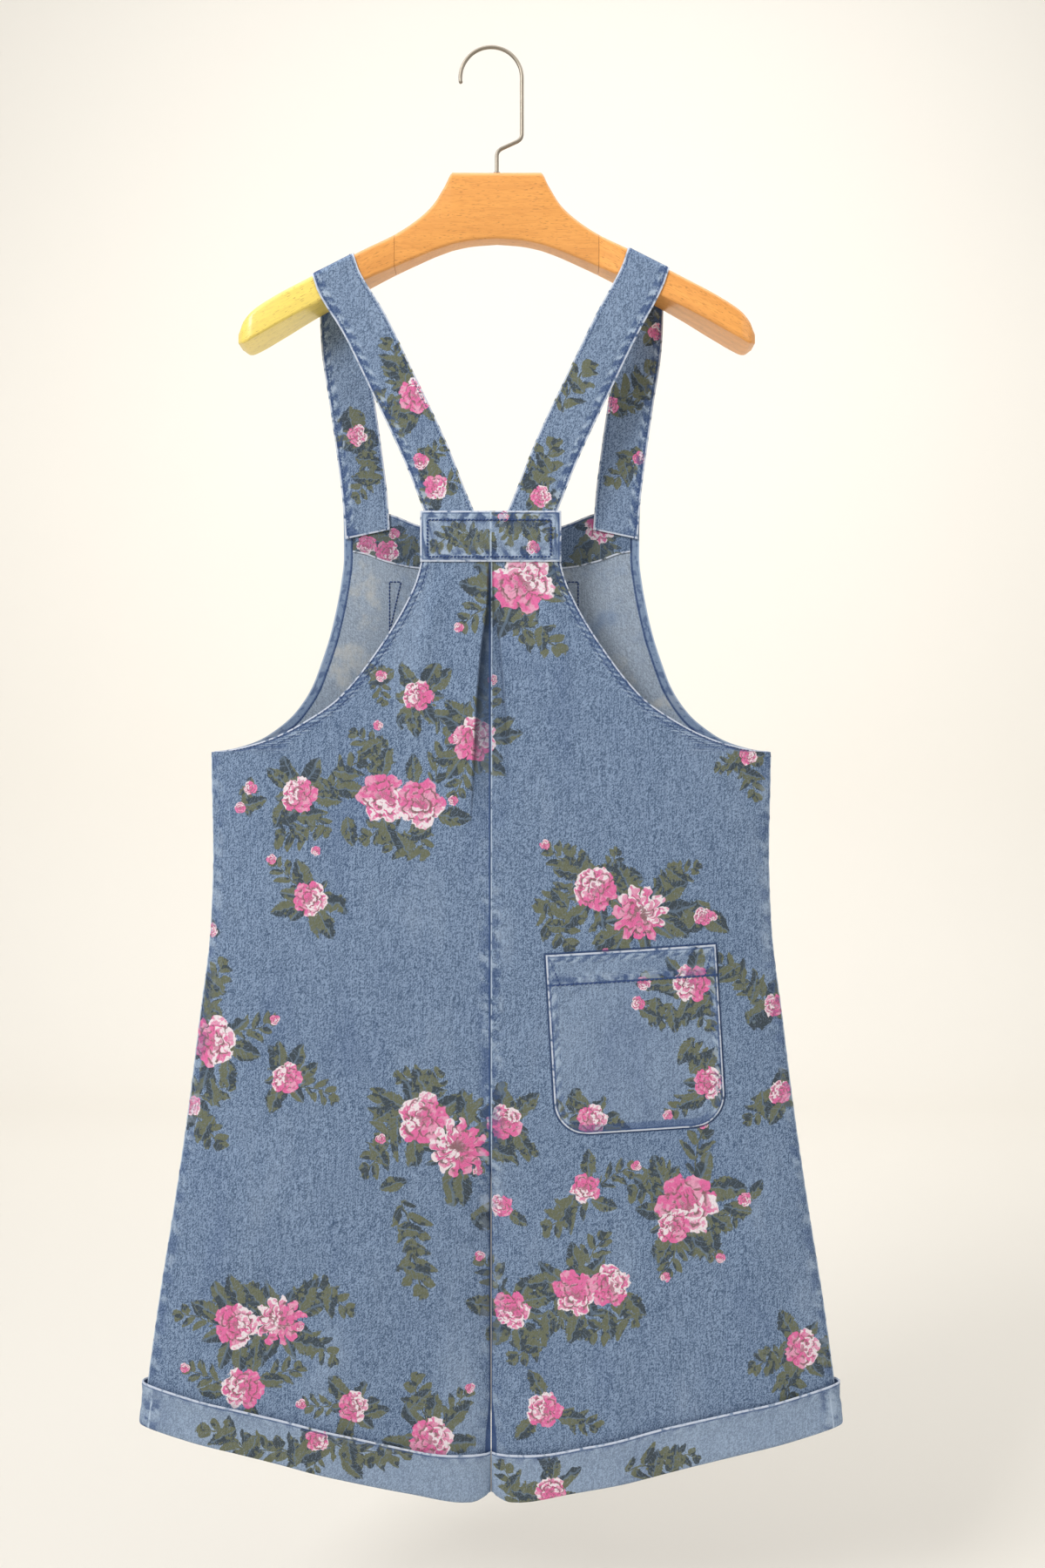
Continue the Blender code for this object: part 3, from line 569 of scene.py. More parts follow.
def depth(side, x, z, hand=1):
    """How far a panel stands off the middle plane, at x >= 0.

    sqrt(1 - u^3) from the centre to the side seam in the torso, and sqrt(1 - |2v - 1|^3) across a leg,
    with the back's ridges and the set-back underlay of its pleat.
    """
    column = "back_depth" if side < 0 else "front_depth"
    full = along(BODY, "z", column, z)
    inner, outer = inner_edge(z), side_edge(z)
    torso = np.sqrt(np.clip(1 - (x / outer) ** 3, 0, 1))
    v = np.clip((x - inner) / (outer - inner), 0, 1)
    leg = np.sqrt(np.clip(1 - np.abs(2 * v - 1) ** 3, 0, 1))
    share = leg_share(z)
    shape = (1 - share) * torso + share * leg
    off = full * shape
    if side < 0:
        off = off + ridge(x * hand, z) * shape
        fold = along(PLEAT, "z", "fold", z)
        inside = 1 - smooth(fold - PLEAT_RISE, fold, x)
        off = off - along(PLEAT, "z", "recess", z) * inside
    return SEAM / 2 + off


def surface(side, x, z):
    """Points of a panel's middle surface, at any x."""
    y = side * depth(side, np.abs(x), z, np.where(x < 0, -1, 1))
    return np.stack([x, y, z], axis=-1)


def stand(side, x, z, lift):
    """Points lifted off a panel's middle surface, and its outward normals there, by small differences."""
    step = 0.0004
    across = surface(side, x + step, z) - surface(side, x - step, z)
    down = surface(side, x, z - step) - surface(side, x, z + step)
    n = np.cross(across, down)
    n /= np.linalg.norm(n, axis=-1, keepdims=True)
    n *= np.where(n[..., 1:2] < 0, -1, 1) * side
    return surface(side, x, z) + n * np.asarray(lift)[..., None], n


def normals(grid, side, rows=slice(None)):
    """Unit normals of a grid, by the cross product of its two directions. They look towards this side of Y,
    as these rows tell it."""
    down, across = np.gradient(grid, axis=(0, 1))
    n = np.cross(across, down)
    n /= np.maximum(np.linalg.norm(n, axis=-1, keepdims=True), 1e-12)
    return n * np.sign(np.sum(n[rows, :, 1])) * side


def puckers(run, across, seed):
    """A hem's ripples: waves of unlike lengths along it, skewed across it, from -1 to 1."""
    s = run + 0.35 * across + 0.017 * seed
    return sum(height * np.sin(s * pace + phase * seed) for pace, height, phase in PUCKER_WAVES) / 2


def hem_relief(distance, run, width, seed, lines=()):
    """How far a turned edge stands out: a band as wide as the hem, its puckers, and its stitches' dents."""
    settings = bpy.context.scene.shortalls_cloth
    band = 1 - smooth(width * 0.8, width * 1.25, distance)
    out = band * (HEM_RISE + settings.pucker * puckers(run, distance, seed))
    out = out - EDGE_DROP * (1 - smooth(0.0, EDGE_ROUND, distance))
    for line in lines:
        out = out - STITCH_DENT * np.exp(-(((distance - line) / DENT_REACH) ** 2))
    return out


def quads(rows, columns, wrap_rows=False, wrap_columns=False):
    """The faces of a grid of points, as rows of four indices."""
    r = np.arange(rows if wrap_rows else rows - 1)
    c = np.arange(columns if wrap_columns else columns - 1)
    r, c = np.meshgrid(r, c, indexing="ij")
    below, beside = (r + 1) % rows, (c + 1) % columns
    corners = [r * columns + c, below * columns + c, below * columns + beside, r * columns + beside]
    return np.stack(corners, axis=-1).reshape(-1, 4)


def shell(first, second):
    """Points, faces and each face's side (0 for the first grid and the rim, 1 for the second)."""
    rows, columns = first.shape[:2]
    count = rows * columns
    at = np.arange(count).reshape(rows, columns)
    front = quads(rows, columns)
    rim = np.concatenate([at[0, :], at[1:, -1], at[-1, -2::-1], at[-2:0:-1, 0]])
    ahead = np.roll(rim, -1)
    band = np.stack([rim, ahead, ahead + count, rim + count], axis=-1)
    points = np.concatenate([first.reshape(-1, 3), second.reshape(-1, 3)])
    faces = np.concatenate([front, front[:, ::-1] + count, band])
    return points, faces, np.repeat([0, 1, 0], [len(front), len(front), len(band)]).astype(np.int32)


def tube(rings):
    """Points and faces of a solid made of rings: its sides, and a strip of faces over each end."""
    rows, count = rings.shape[:2]
    half = count // 2
    faces = [quads(rows, count, False, True)]
    for start in (0, (rows - 1) * count):
        loop = np.arange(count) + start
        back = loop[::-1]
        strip = np.stack([loop[: half - 1], loop[1:half], back[1:half], back[: half - 1]], axis=-1)
        faces.append(strip if start else strip[:, ::-1])
    return rings.reshape(-1, 3), np.concatenate(faces)


def volume(points, faces):
    """Six times the volume that quads close, by the divergence theorem."""
    a, b, c, d = (points[faces[:, k]] for k in range(4))
    return np.sum(a * (np.cross(b, c) + np.cross(c, d)))


def make_mesh(name, points, faces, finishes, slot, sides=None, sharp=40, dresses=True):
    """A named piece from whole arrays. Its faces are turned to look outwards, and it rides on the root. One
    that dresses a node stands for the node of its name."""
    if volume(points, faces) < 0:
        faces = faces[:, ::-1]
    mesh = bpy.data.meshes.new("dressed_" + name if dresses else name)
    mesh.from_pydata(points.tolist(), [], faces.tolist())
    if sides is not None:
        mesh.polygons.foreach_set("material_index", sides)
    mesh.shade_smooth()
    if sharp:
        mesh.set_sharp_from_angle(angle=math.radians(sharp))
    for finish in finishes:
        mesh.materials.append(finish_named(finish))
    piece = bpy.data.objects.new(mesh.name, mesh)
    bpy.context.scene.collection.objects.link(piece)
    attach(piece, "root")
    if dresses:
        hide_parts(name)
    return piece


def mark(piece, name, values):
    """A vector attribute on the piece's points."""
    data = piece.data.attributes.new(name, "FLOAT_VECTOR", "POINT")
    data.data.foreach_set("vector", np.asarray(values, np.float32).ravel())


def mark_wear(piece, distance, run, rope, seam=FAR, unworn_and_shade=0.0, blotch_and_shade=0.0):
    """The wear and seam attributes that denim() reads, from grids that both of the wall's grids share."""
    values = (distance, run, rope, seam, unworn_and_shade, blotch_and_shade)
    both = [np.tile(np.broadcast_to(v, distance.shape).ravel(), 2) for v in values]
    mark(piece, "wear", np.stack(both[:3], axis=-1))
    mark(piece, "seam", np.stack(both[3:], axis=-1))


def chance(*keys):
    """A fixed number from 0 to 1 for these keys."""
    mixed = sum(key * weight for key, weight in zip(keys, KEY_WEIGHTS))
    return math.modf(abs(math.sin(mixed)) * SPREAD)[0]


# The print.


def leaf(x, z, length, turn):
    return Motif(x * MM, z * MM, length * MM, turn, LEAF_GIRTH, chance(x, z, turn), LEAF_LAYERS)


def spray(x, z, length, turn):
    return Motif(x * MM, z * MM, length * MM, turn, SPRAY_GIRTH, chance(z, x, turn), SPRAY_LAYERS)


def bouquet(blooms, leaves):
    """Motifs in drawing order: leafy sprays, a rosette of leaves under each bloom, single leaves, and the
    blooms and buds. A spray's stem comes from the nearest bloom, or from a nearer leaf that has its own."""
    sprays, rosettes, made, heads = [], [], [], []
    reached = [(b.x, b.z, b.radius * 0.8) for b in blooms]
    for x, z in sorted(leaves, key=lambda at: min(math.dist(at, (b.x, b.z)) for b in blooms)):
        near_x, near_z, start = min(reached, key=lambda at: math.dist(at[:2], (x, z)))
        reached.append((x, z, 0))
        away = math.atan2(z - near_z, x - near_x)
        end = math.dist((near_x, near_z), (x, z)) + 12
        start = max(start, end - STEM_LENGTH)
        count = max(1, round((end - start) / SPRAY_LENGTH))
        step = (end - start) / count
        for k in range(count):
            middle = start + (k + 0.5) * step
            bent = away + 0.6 * (chance(x, z, k) - 0.5)
            place = near_x + middle * math.cos(away), near_z + middle * math.sin(away)
            sprays.append(spray(*place, max(step * 0.60, 14), bent))
        swing = away + (1.1 if chance(x, z, 3) > 0.5 else -1.1)
        made.append(leaf(x - 9 * math.cos(away), z - 9 * math.sin(away), 11 + 3 * chance(x), swing))
    for b in blooms:
        seed = chance(b.x, b.z)
        turn = seed * TURN
        growth = next(row for row in GROWTH if b.radius > row.over)
        place = b.x * MM, b.z * MM
        heads.append(Motif(*place, b.radius * 1.15 * MM, turn, 1.05, b.petals + 0.9 * seed, BLOOM_LAYERS))
        reach = (b.radius * 1.50 + 15) * MM if b.radius > BUD else (b.radius + 6) * MM
        lobes = growth.lobes + 0.9 * seed
        rosettes.append(Motif(*place, reach, turn + 1.0, 1.05, lobes, ROSETTE_LAYERS))
        for k in range(growth.leaves):
            way = turn + (k + 0.6 * chance(b.x, k)) * TURN / growth.leaves
            length = 7 + 0.28 * b.radius + 4 * chance(b.z, k)
            reach = b.radius * 0.95 + length * 0.75
            across = way + 0.9 * (chance(k, b.z) - 0.5)
            made.append(leaf(b.x + reach * math.cos(way), b.z + reach * math.sin(way), length, across))
        for k in range(growth.sprays):
            way = turn + 1.1 + (k + 0.5 * chance(b.z, k, 2)) * TURN / 2
            length = 12 + 0.34 * b.radius + 3 * chance(b.x, b.z, k)
            reach = b.radius + length
            sprays.append(spray(b.x + reach * math.cos(way), b.z + reach * math.sin(way), length, way))
            tip = reach + length * 0.85
            bud = (b.x + tip * math.cos(way)) * MM, (b.z + tip * math.sin(way)) * MM
            if chance(b.z, b.radius, k) > 0.5:
                heads.append(Motif(*bud, BUD_SIZE, way, 1.05, 3 + 0.9 * chance(b.x, k), BLOOM_LAYERS))
    return sprays + rosettes + made + heads


def read(items, name, width, kind=float):
    """A property of each item, as an array of this many columns."""
    values = np.empty(len(items) * width, kind)
    items.foreach_get(name, values)
    return values.reshape(-1, width)


def print_on(piece, motifs):
    """Writes each motif's own coordinates into a free layer of the printed faces it covers.

    A layer is a vector on each face corner: along the motif, across it (in units of its length, plus
    LAYER_SHIFT), and its seed. It leaves alone faces that print_on_both has pulled out of shape.
    """
    mesh = piece.data
    count = len(mesh.polygons)
    centres = read(mesh.polygons, "center", 3)[:, (0, 2)]
    points = read(mesh.vertices, "co", 3)[read(mesh.loops, "vertex_index", 1, np.int32)[:, 0]]
    points = points[:, (0, 2)].reshape(-1, 4, 2)
    size = np.linalg.norm(points - centres[:, None], axis=2).max(axis=1)
    printed = read(mesh.polygons, "material_index", 1, np.int32)[:, 0] == 0
    open_to = np.flatnonzero(printed & (size < LARGEST_FACE))
    middles, sizes = centres[open_to], size[open_to]
    names = (*BLOOM_LAYERS, *ROSETTE_LAYERS, *LEAF_LAYERS, *SPRAY_LAYERS)
    layers = {name: np.zeros((count, 4, 3)) for name in names}
    for motif in motifs:
        c, s = math.cos(motif.turn), math.sin(motif.turn)
        turned = np.array([[c, -s], [s, c]]) / motif.length
        apart = middles - (motif.x, motif.z)
        near = np.flatnonzero(np.abs(apart).max(axis=1) < motif.length * 1.5 + sizes)
        along_it, across_it = np.abs(apart[near] @ turned).T
        margin = sizes[near] / motif.length
        hit = open_to[near[(along_it < 1.05 + margin) & (across_it < motif.girth + margin)]]
        free = [name for name in motif.layers if len(hit) and not layers[name][hit].any()]
        if free:
            own = (points[hit] - (motif.x, motif.z)) @ turned + LAYER_SHIFT
            seeds = np.full((*own.shape[:2], 1), motif.seed)
            layers[free[0]][hit] = np.concatenate([own, seeds], axis=2)
    for name, values in layers.items():
        data = mesh.attributes.new(name, "FLOAT_VECTOR", "CORNER")
        data.data.foreach_set("vector", values.astype(np.float32).ravel())


def print_on_both(piece, back, front):
    """Prints the half at -Y and the half at +Y apart: the front half is set aside while it is printed."""
    mesh = piece.data
    points = read(mesh.vertices, "co", 3)
    moved = points.copy()
    moved[:, 0] += np.where(moved[:, 1] > 0, APART, 0)
    mesh.vertices.foreach_set("co", moved.ravel())
    mesh.update()
    print_on(piece, back + [motif._replace(x=motif.x + APART) for motif in front])
    mesh.vertices.foreach_set("co", points.ravel())
    mesh.update()


# Finishes.


def darker(tone, by):
    return tuple(c * by for c in tone)


def between(a, b, share):
    return tuple(p + (q - p) * share for p, q in zip(a, b))


def bloom_print(net, layer, under):
    """A bloom over what is under it: three rings of round petals, each over the last, with its shadow,
    fine dark lines at its foot and pale strokes at its rim."""
    cloth = bpy.context.scene.shortalls_cloth
    x, y, seed, there = net.motif(layer)
    petals, own = net.math("FLOOR", seed), net.fract(seed)
    many = petals > 8.0
    p = net.vector(x, y, own * 9.0)
    warp, fine = net.noise(p, 1.9), net.noise(p, 6.0)
    x, y = x + (warp - 0.5) * 0.55, y + (fine - 0.5) * 0.30
    r, turns = net.polar(x, y)
    deep = between(cloth.olive, darker(cloth.pink, 0.30), 0.35)
    light = between(cloth.pink, cloth.petal, 0.30)
    lit = net.ramp(x * 0.5 - y * 0.9 + warp, 0.35, 0.80)
    ink, whole = under, None
    for k, ring in enumerate(PETAL_RINGS):
        t = net.fract(turns * (petals - ring.fewer) + own * (2.7 + 1.9 * k)) - 0.5
        far = abs(t) * 2.0
        rim = ring.reach * (1.0 - far * far * far * ring.scallop * (1.0 + many)) - r
        face = there * net.ramp(rim, 0.0, 0.035)
        if k:
            shadow = whole * net.ramp(rim, -0.11, -0.02) * net.ramp(fine, 0.42, 0.54)
            ink = net.mix(shadow * 0.85, ink, deep)
        whole = whole or face
        strokes = net.ramp(abs(net.fract(t * 5.0 + fine * 0.8) - 0.5), 0.20, 0.08) * net.ramp(rim, 0.10, 0.26)
        heart = net.ramp(r, 0.42, 0.12) * net.ramp(fine, 0.45, 0.54)
        white = net.ramp(rim + (fine - 0.5) * 0.7, 0.18, 0.08) * net.ramp(lit - far * 0.35, 0.25, 0.50)
        tone = net.mixes(
            cloth.pink,
            (net.ramp(warp + fine - far * 0.2, 0.86, 1.08), light),
            (strokes * (0.25 + 0.25 * k), deep),
            (heart * (many * 0.35 + 0.45), deep),
            (net.ramp(far, 0.84, 0.98) * 0.6, deep),
            (white * 0.92, cloth.petal),
        )
        ink = net.mix(face, ink, tone)
    return ink, whole


def leaf_tone(net, dark, vein):
    """The leaves' olive, with its dark patches and pale veins."""
    cloth = bpy.context.scene.shortalls_cloth
    return net.mixes(cloth.olive, (dark, cloth.shade), (vein, between(cloth.olive, cloth.denim, 0.6)))


def rosette_print(net, layer, under):
    """Pointed leaves that spread all round from one point, with toothed sides, pale ribs and dark halves."""
    x, y, seed, there = net.motif(layer)
    lobes, own = net.math("FLOOR", seed), net.fract(seed)
    wobble = net.noise(net.vector(x, y, own * 9.0), 2.4, 2.0)
    r, turns = net.polar(x + (wobble - 0.5) * 0.35, y)
    turns = turns * lobes + own * 3.7
    reach = 0.80 + 0.20 * net.math("SINE", net.math("FLOOR", turns) * 2.4 + own * 9.0)
    t = net.fract(turns + (wobble - 0.5) * 0.5) - 0.5
    far = abs(t) * 2.0
    wide = net.most(reach - r, 0.0) * 1.75 / reach
    inside = there * net.ramp(wide**0.75 - net.fract(r * 8.0 + far) * 0.10 - far, 0.0, 0.08)
    veins = net.ramp(abs(net.fract(r * 7.0 - far * 1.6) - 0.5), 0.10, 0.03) * net.ramp(wobble, 0.44, 0.54)
    vein = net.most(net.ramp(far * r * 3.14 / lobes, 0.030, 0.012), veins)
    dark = net.ramp(wobble + net.ramp(t, -0.05, 0.05) * 0.22 - far * 0.06, 0.56, 0.62)
    return net.mix(inside, under, leaf_tone(net, dark * 0.9, vein * 0.7)), inside


def leaf_print(net, layer, under):
    """A leaf over what is under it: a pointed oval with toothed sides, pale veins and dark patches."""
    x, y, seed, there = net.motif(layer)
    wobble = net.noise(net.vector(x, y, seed * 9.0), 2.6, 2.0)
    y = y + (wobble - 0.5) * 0.42
    height = abs(y)
    wide = net.most(1.0 - x * x, 0.0) ** 0.8 * (0.56 - 0.12 * x)
    tooth = net.fract(x * 5.5 - height * 3.0 + seed * 3.0) * 0.075
    inside = there * net.ramp(wide - tooth - height, 0.0, 0.03)
    veins = net.ramp(abs(net.fract(x * 3.2 - height * 2.6) - 0.5), 0.09, 0.03) * net.ramp(wobble, 0.46, 0.56)
    vein = net.most(net.ramp(height, 0.050, 0.020), veins)
    dark = net.ramp(wobble + x * 0.15 + net.ramp(y, -0.05, 0.05) * 0.20, 0.60, 0.66)
    return net.mix(inside, under, leaf_tone(net, dark * 0.9, vein * 0.75)), inside


def spray_print(net, layer, under):
    """A curved stem with slanting leaflets on both sides and one at its tip."""
    x, y, seed, there = net.motif(layer)
    wobble = net.noise(net.vector(x, y, seed * 9.0), 2.2, 2.0)
    y = y - (seed - 0.5) * 0.5 * (x * x - 0.3) + (wobble - 0.5) * 0.30
    height = abs(y)
    c = net.fract((x - height * 0.75 + wobble * 0.3) * 1.8 + (y > 0.0) * 0.5 + seed * 5.0) - 0.5
    reach = 0.70 * net.most(1.0 - x * x * 0.85, 0.02)
    q = net.least(net.most(height - 0.02, 0.0) / reach, 1.0)
    wide = q**0.55 * (1.0 - q) * 1.12
    leaflets = net.ramp(wide - net.fract(q * 5.0 + c) * 0.05 - abs(c), 0.0, 0.05)
    tip = net.most(net.least((x - 0.45) * 1.9, 1.0), 0.0)
    last = net.ramp(tip * (1.0 - tip) * 0.75 - height, 0.0, 0.03)
    stem = net.ramp(height, 0.035, 0.015)
    whole = net.most(net.most(leaflets, last), stem) * net.ramp(abs(x), 1.0, 0.95) * there
    dark = net.ramp(wobble + c * 0.30, 0.53, 0.58)
    vein = net.ramp(abs(c), 0.04, 0.02) * net.ramp(wobble, 0.42, 0.50)
    return net.mix(whole, under, leaf_tone(net, dark * 0.85, vein * 0.5)), whole


def outside(net, x, z, shape):
    """How far a point is outside a pocket: the distance to its rounded outline, and below 0 inside it."""
    c, s = math.cos(math.radians(shape.tilt)), math.sin(math.radians(shape.tilt))
    across = abs((x - shape.x) * c + (z - shape.z) * s)
    up = (z - shape.z) * c - (x - shape.x) * s
    square = net.most(across - shape.width / 2, abs(up) - shape.height / 2)
    side = net.most(across - (shape.width / 2 - shape.corner), 0.0)
    foot = net.most(-1.0 * up - (shape.height / 2 - shape.corner), 0.0)
    return net.most(square, net.math("SQRT", side * side + foot * foot) - shape.corner)


def weave(net, place, turn):
    """The cloth's yarns, from 0 to 1: fine speckle, short slanting streaks and long thin slubs."""
    speck = net.noise(place, 900.0, 2.0, 0.9)
    twill = net.streaks(place, (0.0026, 0.0009, 0.0008), (0, turn, 0), 0.0)
    slub = net.streaks(place, (0.0008, 0.0008, 0.0140))
    return speck * 0.62 + twill * 0.20 + slub * 0.18


PRINTERS = (
    (spray_print, SPRAY_LAYERS),
    (rosette_print, ROSETTE_LAYERS),
    (leaf_print, LEAF_LAYERS),
    (bloom_print, BLOOM_LAYERS),
)


def denim(name):
    """Washed twill: yarns, patchy fading, the print, the pale and dark wear along its seams, and painted
    shade in the pleat, in the cuffs' slots, between the legs and just outside the pockets.

    wear is the distance from a turned edge, the length along it, and how strongly it ropes. seam is the
    distance from a plain seam, how unworn the cloth is together with painted shade, and the seam's blotches,
    which are below 0 on its dark side and on the painted shadow between the legs.
    """
    cloth = bpy.context.scene.shortalls_cloth
    net = Net(name)
    place = net.place()
    yarn = weave(net, place, -0.95)
    cloudy = net.streaks(place, (0.05, 0.05, 0.14), detail=4.0, rough=0.6)
    tone = net.node("Mix", {"data_type": "RGBA", "name": "yarns"}, {0: net.ramp(yarn, 0.42, 0.58)}, 2)
    worn = net.ramp(cloudy, 0.50, 0.80) * 0.22, cloth.faded
    fresher = net.ramp(cloudy, 0.48, 0.22) * 0.22, cloth.indigo
    ink = tone = net.mixes(tone, worn, fresher)
    covered = 0.0
    for printer, names in PRINTERS:
        for layer in names:
            ink, inside = printer(net, layer, ink)
            covered = net.most(covered, inside)
    distance, run, rope = net.attribute("wear")
    seam, unworn_and_shade, blotch_and_shade = net.attribute("seam")
    patchy = net.noise(net.vector(run * 90.0, distance * 160.0, rope), 1.0, 2.0, 0.6)
    turns = net.node("Math", {"operation": "MULTIPLY", "name": "roping"}, {0: run + distance * 0.8})
    ticks = net.math("SINE", turns + patchy * 9.0) * 0.7 + (patchy - 0.5) * 4.0
    roped = rope * net.ramp(distance, 0.0098, 0.0070)
    groove = net.ramp(abs(distance - 0.0022), 0.0009, 0.0003) * net.least(rope * 2.0, 1.0)
    broken = net.ramp(net.noise(place, 210.0), 0.30, 0.50)
    patches = net.streaks(place, (0.014, 0.014, 0.0085), (0, 0.5, 0), 2.0)
    beside = net.ramp(seam, 0.013, 0.004) * abs(blotch_and_shade)
    x, y, z = net.parts(place)
    # The distance outside the two pockets, for a painted shadow line just outside their outlines.
    on_back, on_front = outside(net, x, z, BACK_POCKET), outside(net, x, z, BIB_POCKET)
    near = net.least(on_back + (y > 0.0), on_front + (y < 0.0))
    line = net.ramp(near, 0.0022, 0.0012) * (near > 0.0)
    tone = net.mixes(
        ink,
        (net.ramp(yarn, 0.50, 0.66) * 0.34, tone),
        (covered * net.ramp(yarn, 0.50, 0.36) * 0.30, cloth.shade),
        # Painted shade on less-worn cloth in the pleat's underlay and the cuffs' slots; the facing is
        # darkened evenly by the same tone.
        (unworn_and_shade * 0.85, darker(cloth.denim, 0.30)),
        (roped * net.ramp(ticks, 0.10, -0.60) * 0.72, cloth.indigo),
        (roped * net.ramp(ticks, 0.25, 1.00) * 0.68, cloth.faded),
        (groove * 0.60, cloth.indigo),
        (net.ramp(distance, 0.0017, 0.0010) * broken * 0.95, between(cloth.faded, cloth.petal, 0.3)),
        (beside * net.ramp(patches, 0.50, 0.40) * 0.75, cloth.indigo),
        (beside * net.ramp(patches, 0.52, 0.64) * 0.60, cloth.faded),
        # The dark side of each seam, and the painted shadow between the legs below the crotch.
        (net.ramp(seam, 0.0020, 0.0011) * (blotch_and_shade < 0.0) * 0.85, cloth.indigo),
        (net.ramp(seam, 0.0014, 0.0008) * (blotch_and_shade > 0.0) * broken * 0.90, cloth.faded),
        # Painted shadow: a dark line just outside each pocket.
        (line * 0.85, darker(cloth.indigo, 0.7)),
    )
    bump = net.bump((yarn + roped * ticks) * 0.9, 0.14, 0.0005)
    rough = 0.88 - net.ramp(yarn, 0.4, 0.7) * 0.08
    return net.finish(
        Base_Color=tone, Roughness=rough, Normal=bump, Specular_IOR_Level=0.15, Sheen_Weight=0.03
    )


def denim_like(name, fade, pitch):
    """The same twill, paler by its share of fade and roped at its own pitch."""
    cloth = bpy.context.scene.shortalls_cloth
    material = (bpy.data.materials.get("any_denim") or denim("any_denim")).copy()
    material.name = name
    nodes = material.node_tree.nodes
    for socket, yarn in ((6, darker(cloth.denim, 0.48)), (7, between(cloth.denim, cloth.faded, 0.39))):
        nodes["yarns"].inputs[socket].default_value = (*between(yarn, cloth.faded, fade), 1.0)
    nodes["roping"].inputs[1].default_value = 2 * math.pi / pitch
    return material


def reverse(name):
    """The unprinted inside: paler, with the same twill, cream stains and a bluer turned edge."""
    cloth = bpy.context.scene.shortalls_cloth
    net = Net(name)
    place = net.place()
    yarn = weave(net, place, 0.95)
    stains = net.noise(place, 17.0, 4.0, 0.65)
    distance, run, _ = net.attribute("wear")
    band = net.ramp(distance, 0.0085, 0.0078)
    patchy = net.noise(net.vector(run * 130.0, distance * 160.0, 0.0), 1.0, 2.0, 0.6)
    tone = net.mixes(
        darker(cloth.reverse, 0.70),
        (net.ramp(yarn, 0.38, 0.62), between(cloth.reverse, cloth.faded, 0.45)),
        (net.ramp(stains, 0.53, 0.68) * 0.55, cloth.stain),
        (net.ramp(stains, 0.47, 0.30) * 0.50, cloth.denim),
        (band * 0.60, cloth.denim),
        (band * net.ramp(patchy, 0.50, 0.40) * 0.55, cloth.indigo),
        (net.ramp(abs(distance - 0.0068), 0.0012, 0.0005) * 0.65, cloth.indigo),
        (net.ramp(distance, 0.0016, 0.0008) * 0.75, cloth.faded),
    )
    bump = net.bump(yarn, 0.5, 0.0006)
    return net.finish(Base_Color=tone, Roughness=0.9, Normal=bump, Specular_IOR_Level=0.2, Sheen_Weight=0.1)


def thread(name):
    """Twisted sewing thread: a fine slanted twist in its colour and its relief."""
    tone = bpy.context.scene.shortalls_cloth.thread
    net = Net(name)
    twist = net.streaks(net.place(), (0.0012, 0.0004, 0.0004), (0.5, 0.6, 0))
    shade = net.mix(net.ramp(twist, 0.35, 0.65), darker(tone, 0.7), darker(tone, 1.35))
    bump = net.bump(twist, 0.6, 0.0002)
    return net.finish(Base_Color=shade, Roughness=0.7, Normal=bump, Specular_IOR_Level=0.3)


def wood(name, slope, yellow_from=9.0, lift=1.0):
    """Varnished beech: long grain along the arm's slope, and the short dark flecks of its rays.

    The wood is yellower beyond yellow_from, in metres to the left of the middle. lift scales its light tone,
    as painted light for an arm that the lamps light less.
    """
    settings = bpy.context.scene.shortalls_hanger
    net = Net(name)
    place = net.place()
    turn = (0, slope, 0)
    grain = net.streaks(place, (0.110, 0.012, 0.0065), turn, 3.0, 0.6)
    pores = net.streaks(place, (0.0090, 0.0012, 0.0009), turn)
    flecks = net.streaks(place, (0.0042, 0.0009, 0.00075), turn, 0.0)
    yellow = net.ramp(net.parts(place)[0], -yellow_from, -yellow_from - 0.012)
    # lift lightens the wood: painted light for the right arm.
    light = net.mix(yellow, darker(settings.beech, lift), settings.sapwood)
    deep = net.mix(yellow, settings.beech_dark, darker(settings.sapwood, 0.78))
    tone = net.mixes(
        light,
        (net.ramp(grain, 0.30, 0.75) * 0.55, deep),
        (net.ramp(pores, 0.52, 0.68) * 0.50, deep),
        (net.ramp(flecks, 0.68, 0.76) * 0.45, darker(settings.beech_dark, 0.50)),
    )
    bump = net.bump(1.0 - net.ramp(flecks, 0.62, 0.72) - pores * 0.4, 0.25, 0.0003)
    rough = 0.36 + grain * 0.14
    return net.finish(Base_Color=tone, Roughness=rough, Normal=bump, Coat_Weight=0.40, Coat_Roughness=0.18)


def steel(name):
    """Drawn wire: bright, with faint lengthwise scuffs and a warm cast."""
    tone = bpy.context.scene.shortalls_hanger.steel
    net = Net(name)
    place = net.place()
    scuff = net.streaks(place, (0.0011, 0.0011, 0.007), detail=2.0)
    dull = net.ramp(net.noise(place, 60.0, 2.0), 0.35, 0.7)
    tone = net.mix(dull * 0.5, tone, darker(tone, 0.72))
    bump = net.bump(scuff, 0.15, 0.0001)
    return net.finish(Base_Color=tone, Metallic=1.0, Roughness=0.34 + scuff * 0.20, Normal=bump)


FINISHES = {
    "printed_denim": (denim_like, 0.0, 0.0068),
    "strap_denim": (denim_like, 0.06, 0.0128),
    "tab_denim": (denim_like, 0.28, 0.0128),
    "pocket_denim": (denim_like, 0.12, 0.0068),
    "cuff_denim": (denim_like, 0.30, 0.0150),
    "facing_denim": (denim_like, 0.0, 0.0090),
    "reverse_denim": (reverse,),
    "dark_thread": (thread,),
    "varnished_beech": (wood, 0.0),
    "left_beech": (wood, -ARM_SLOPE, 0.118),
    # The right arm is a lighter copy of the beech: painted light for the arm that the lamps light less.
    "right_beech": (wood, ARM_SLOPE, 9.0, 1.14),
    "bright_steel": (steel,),
}


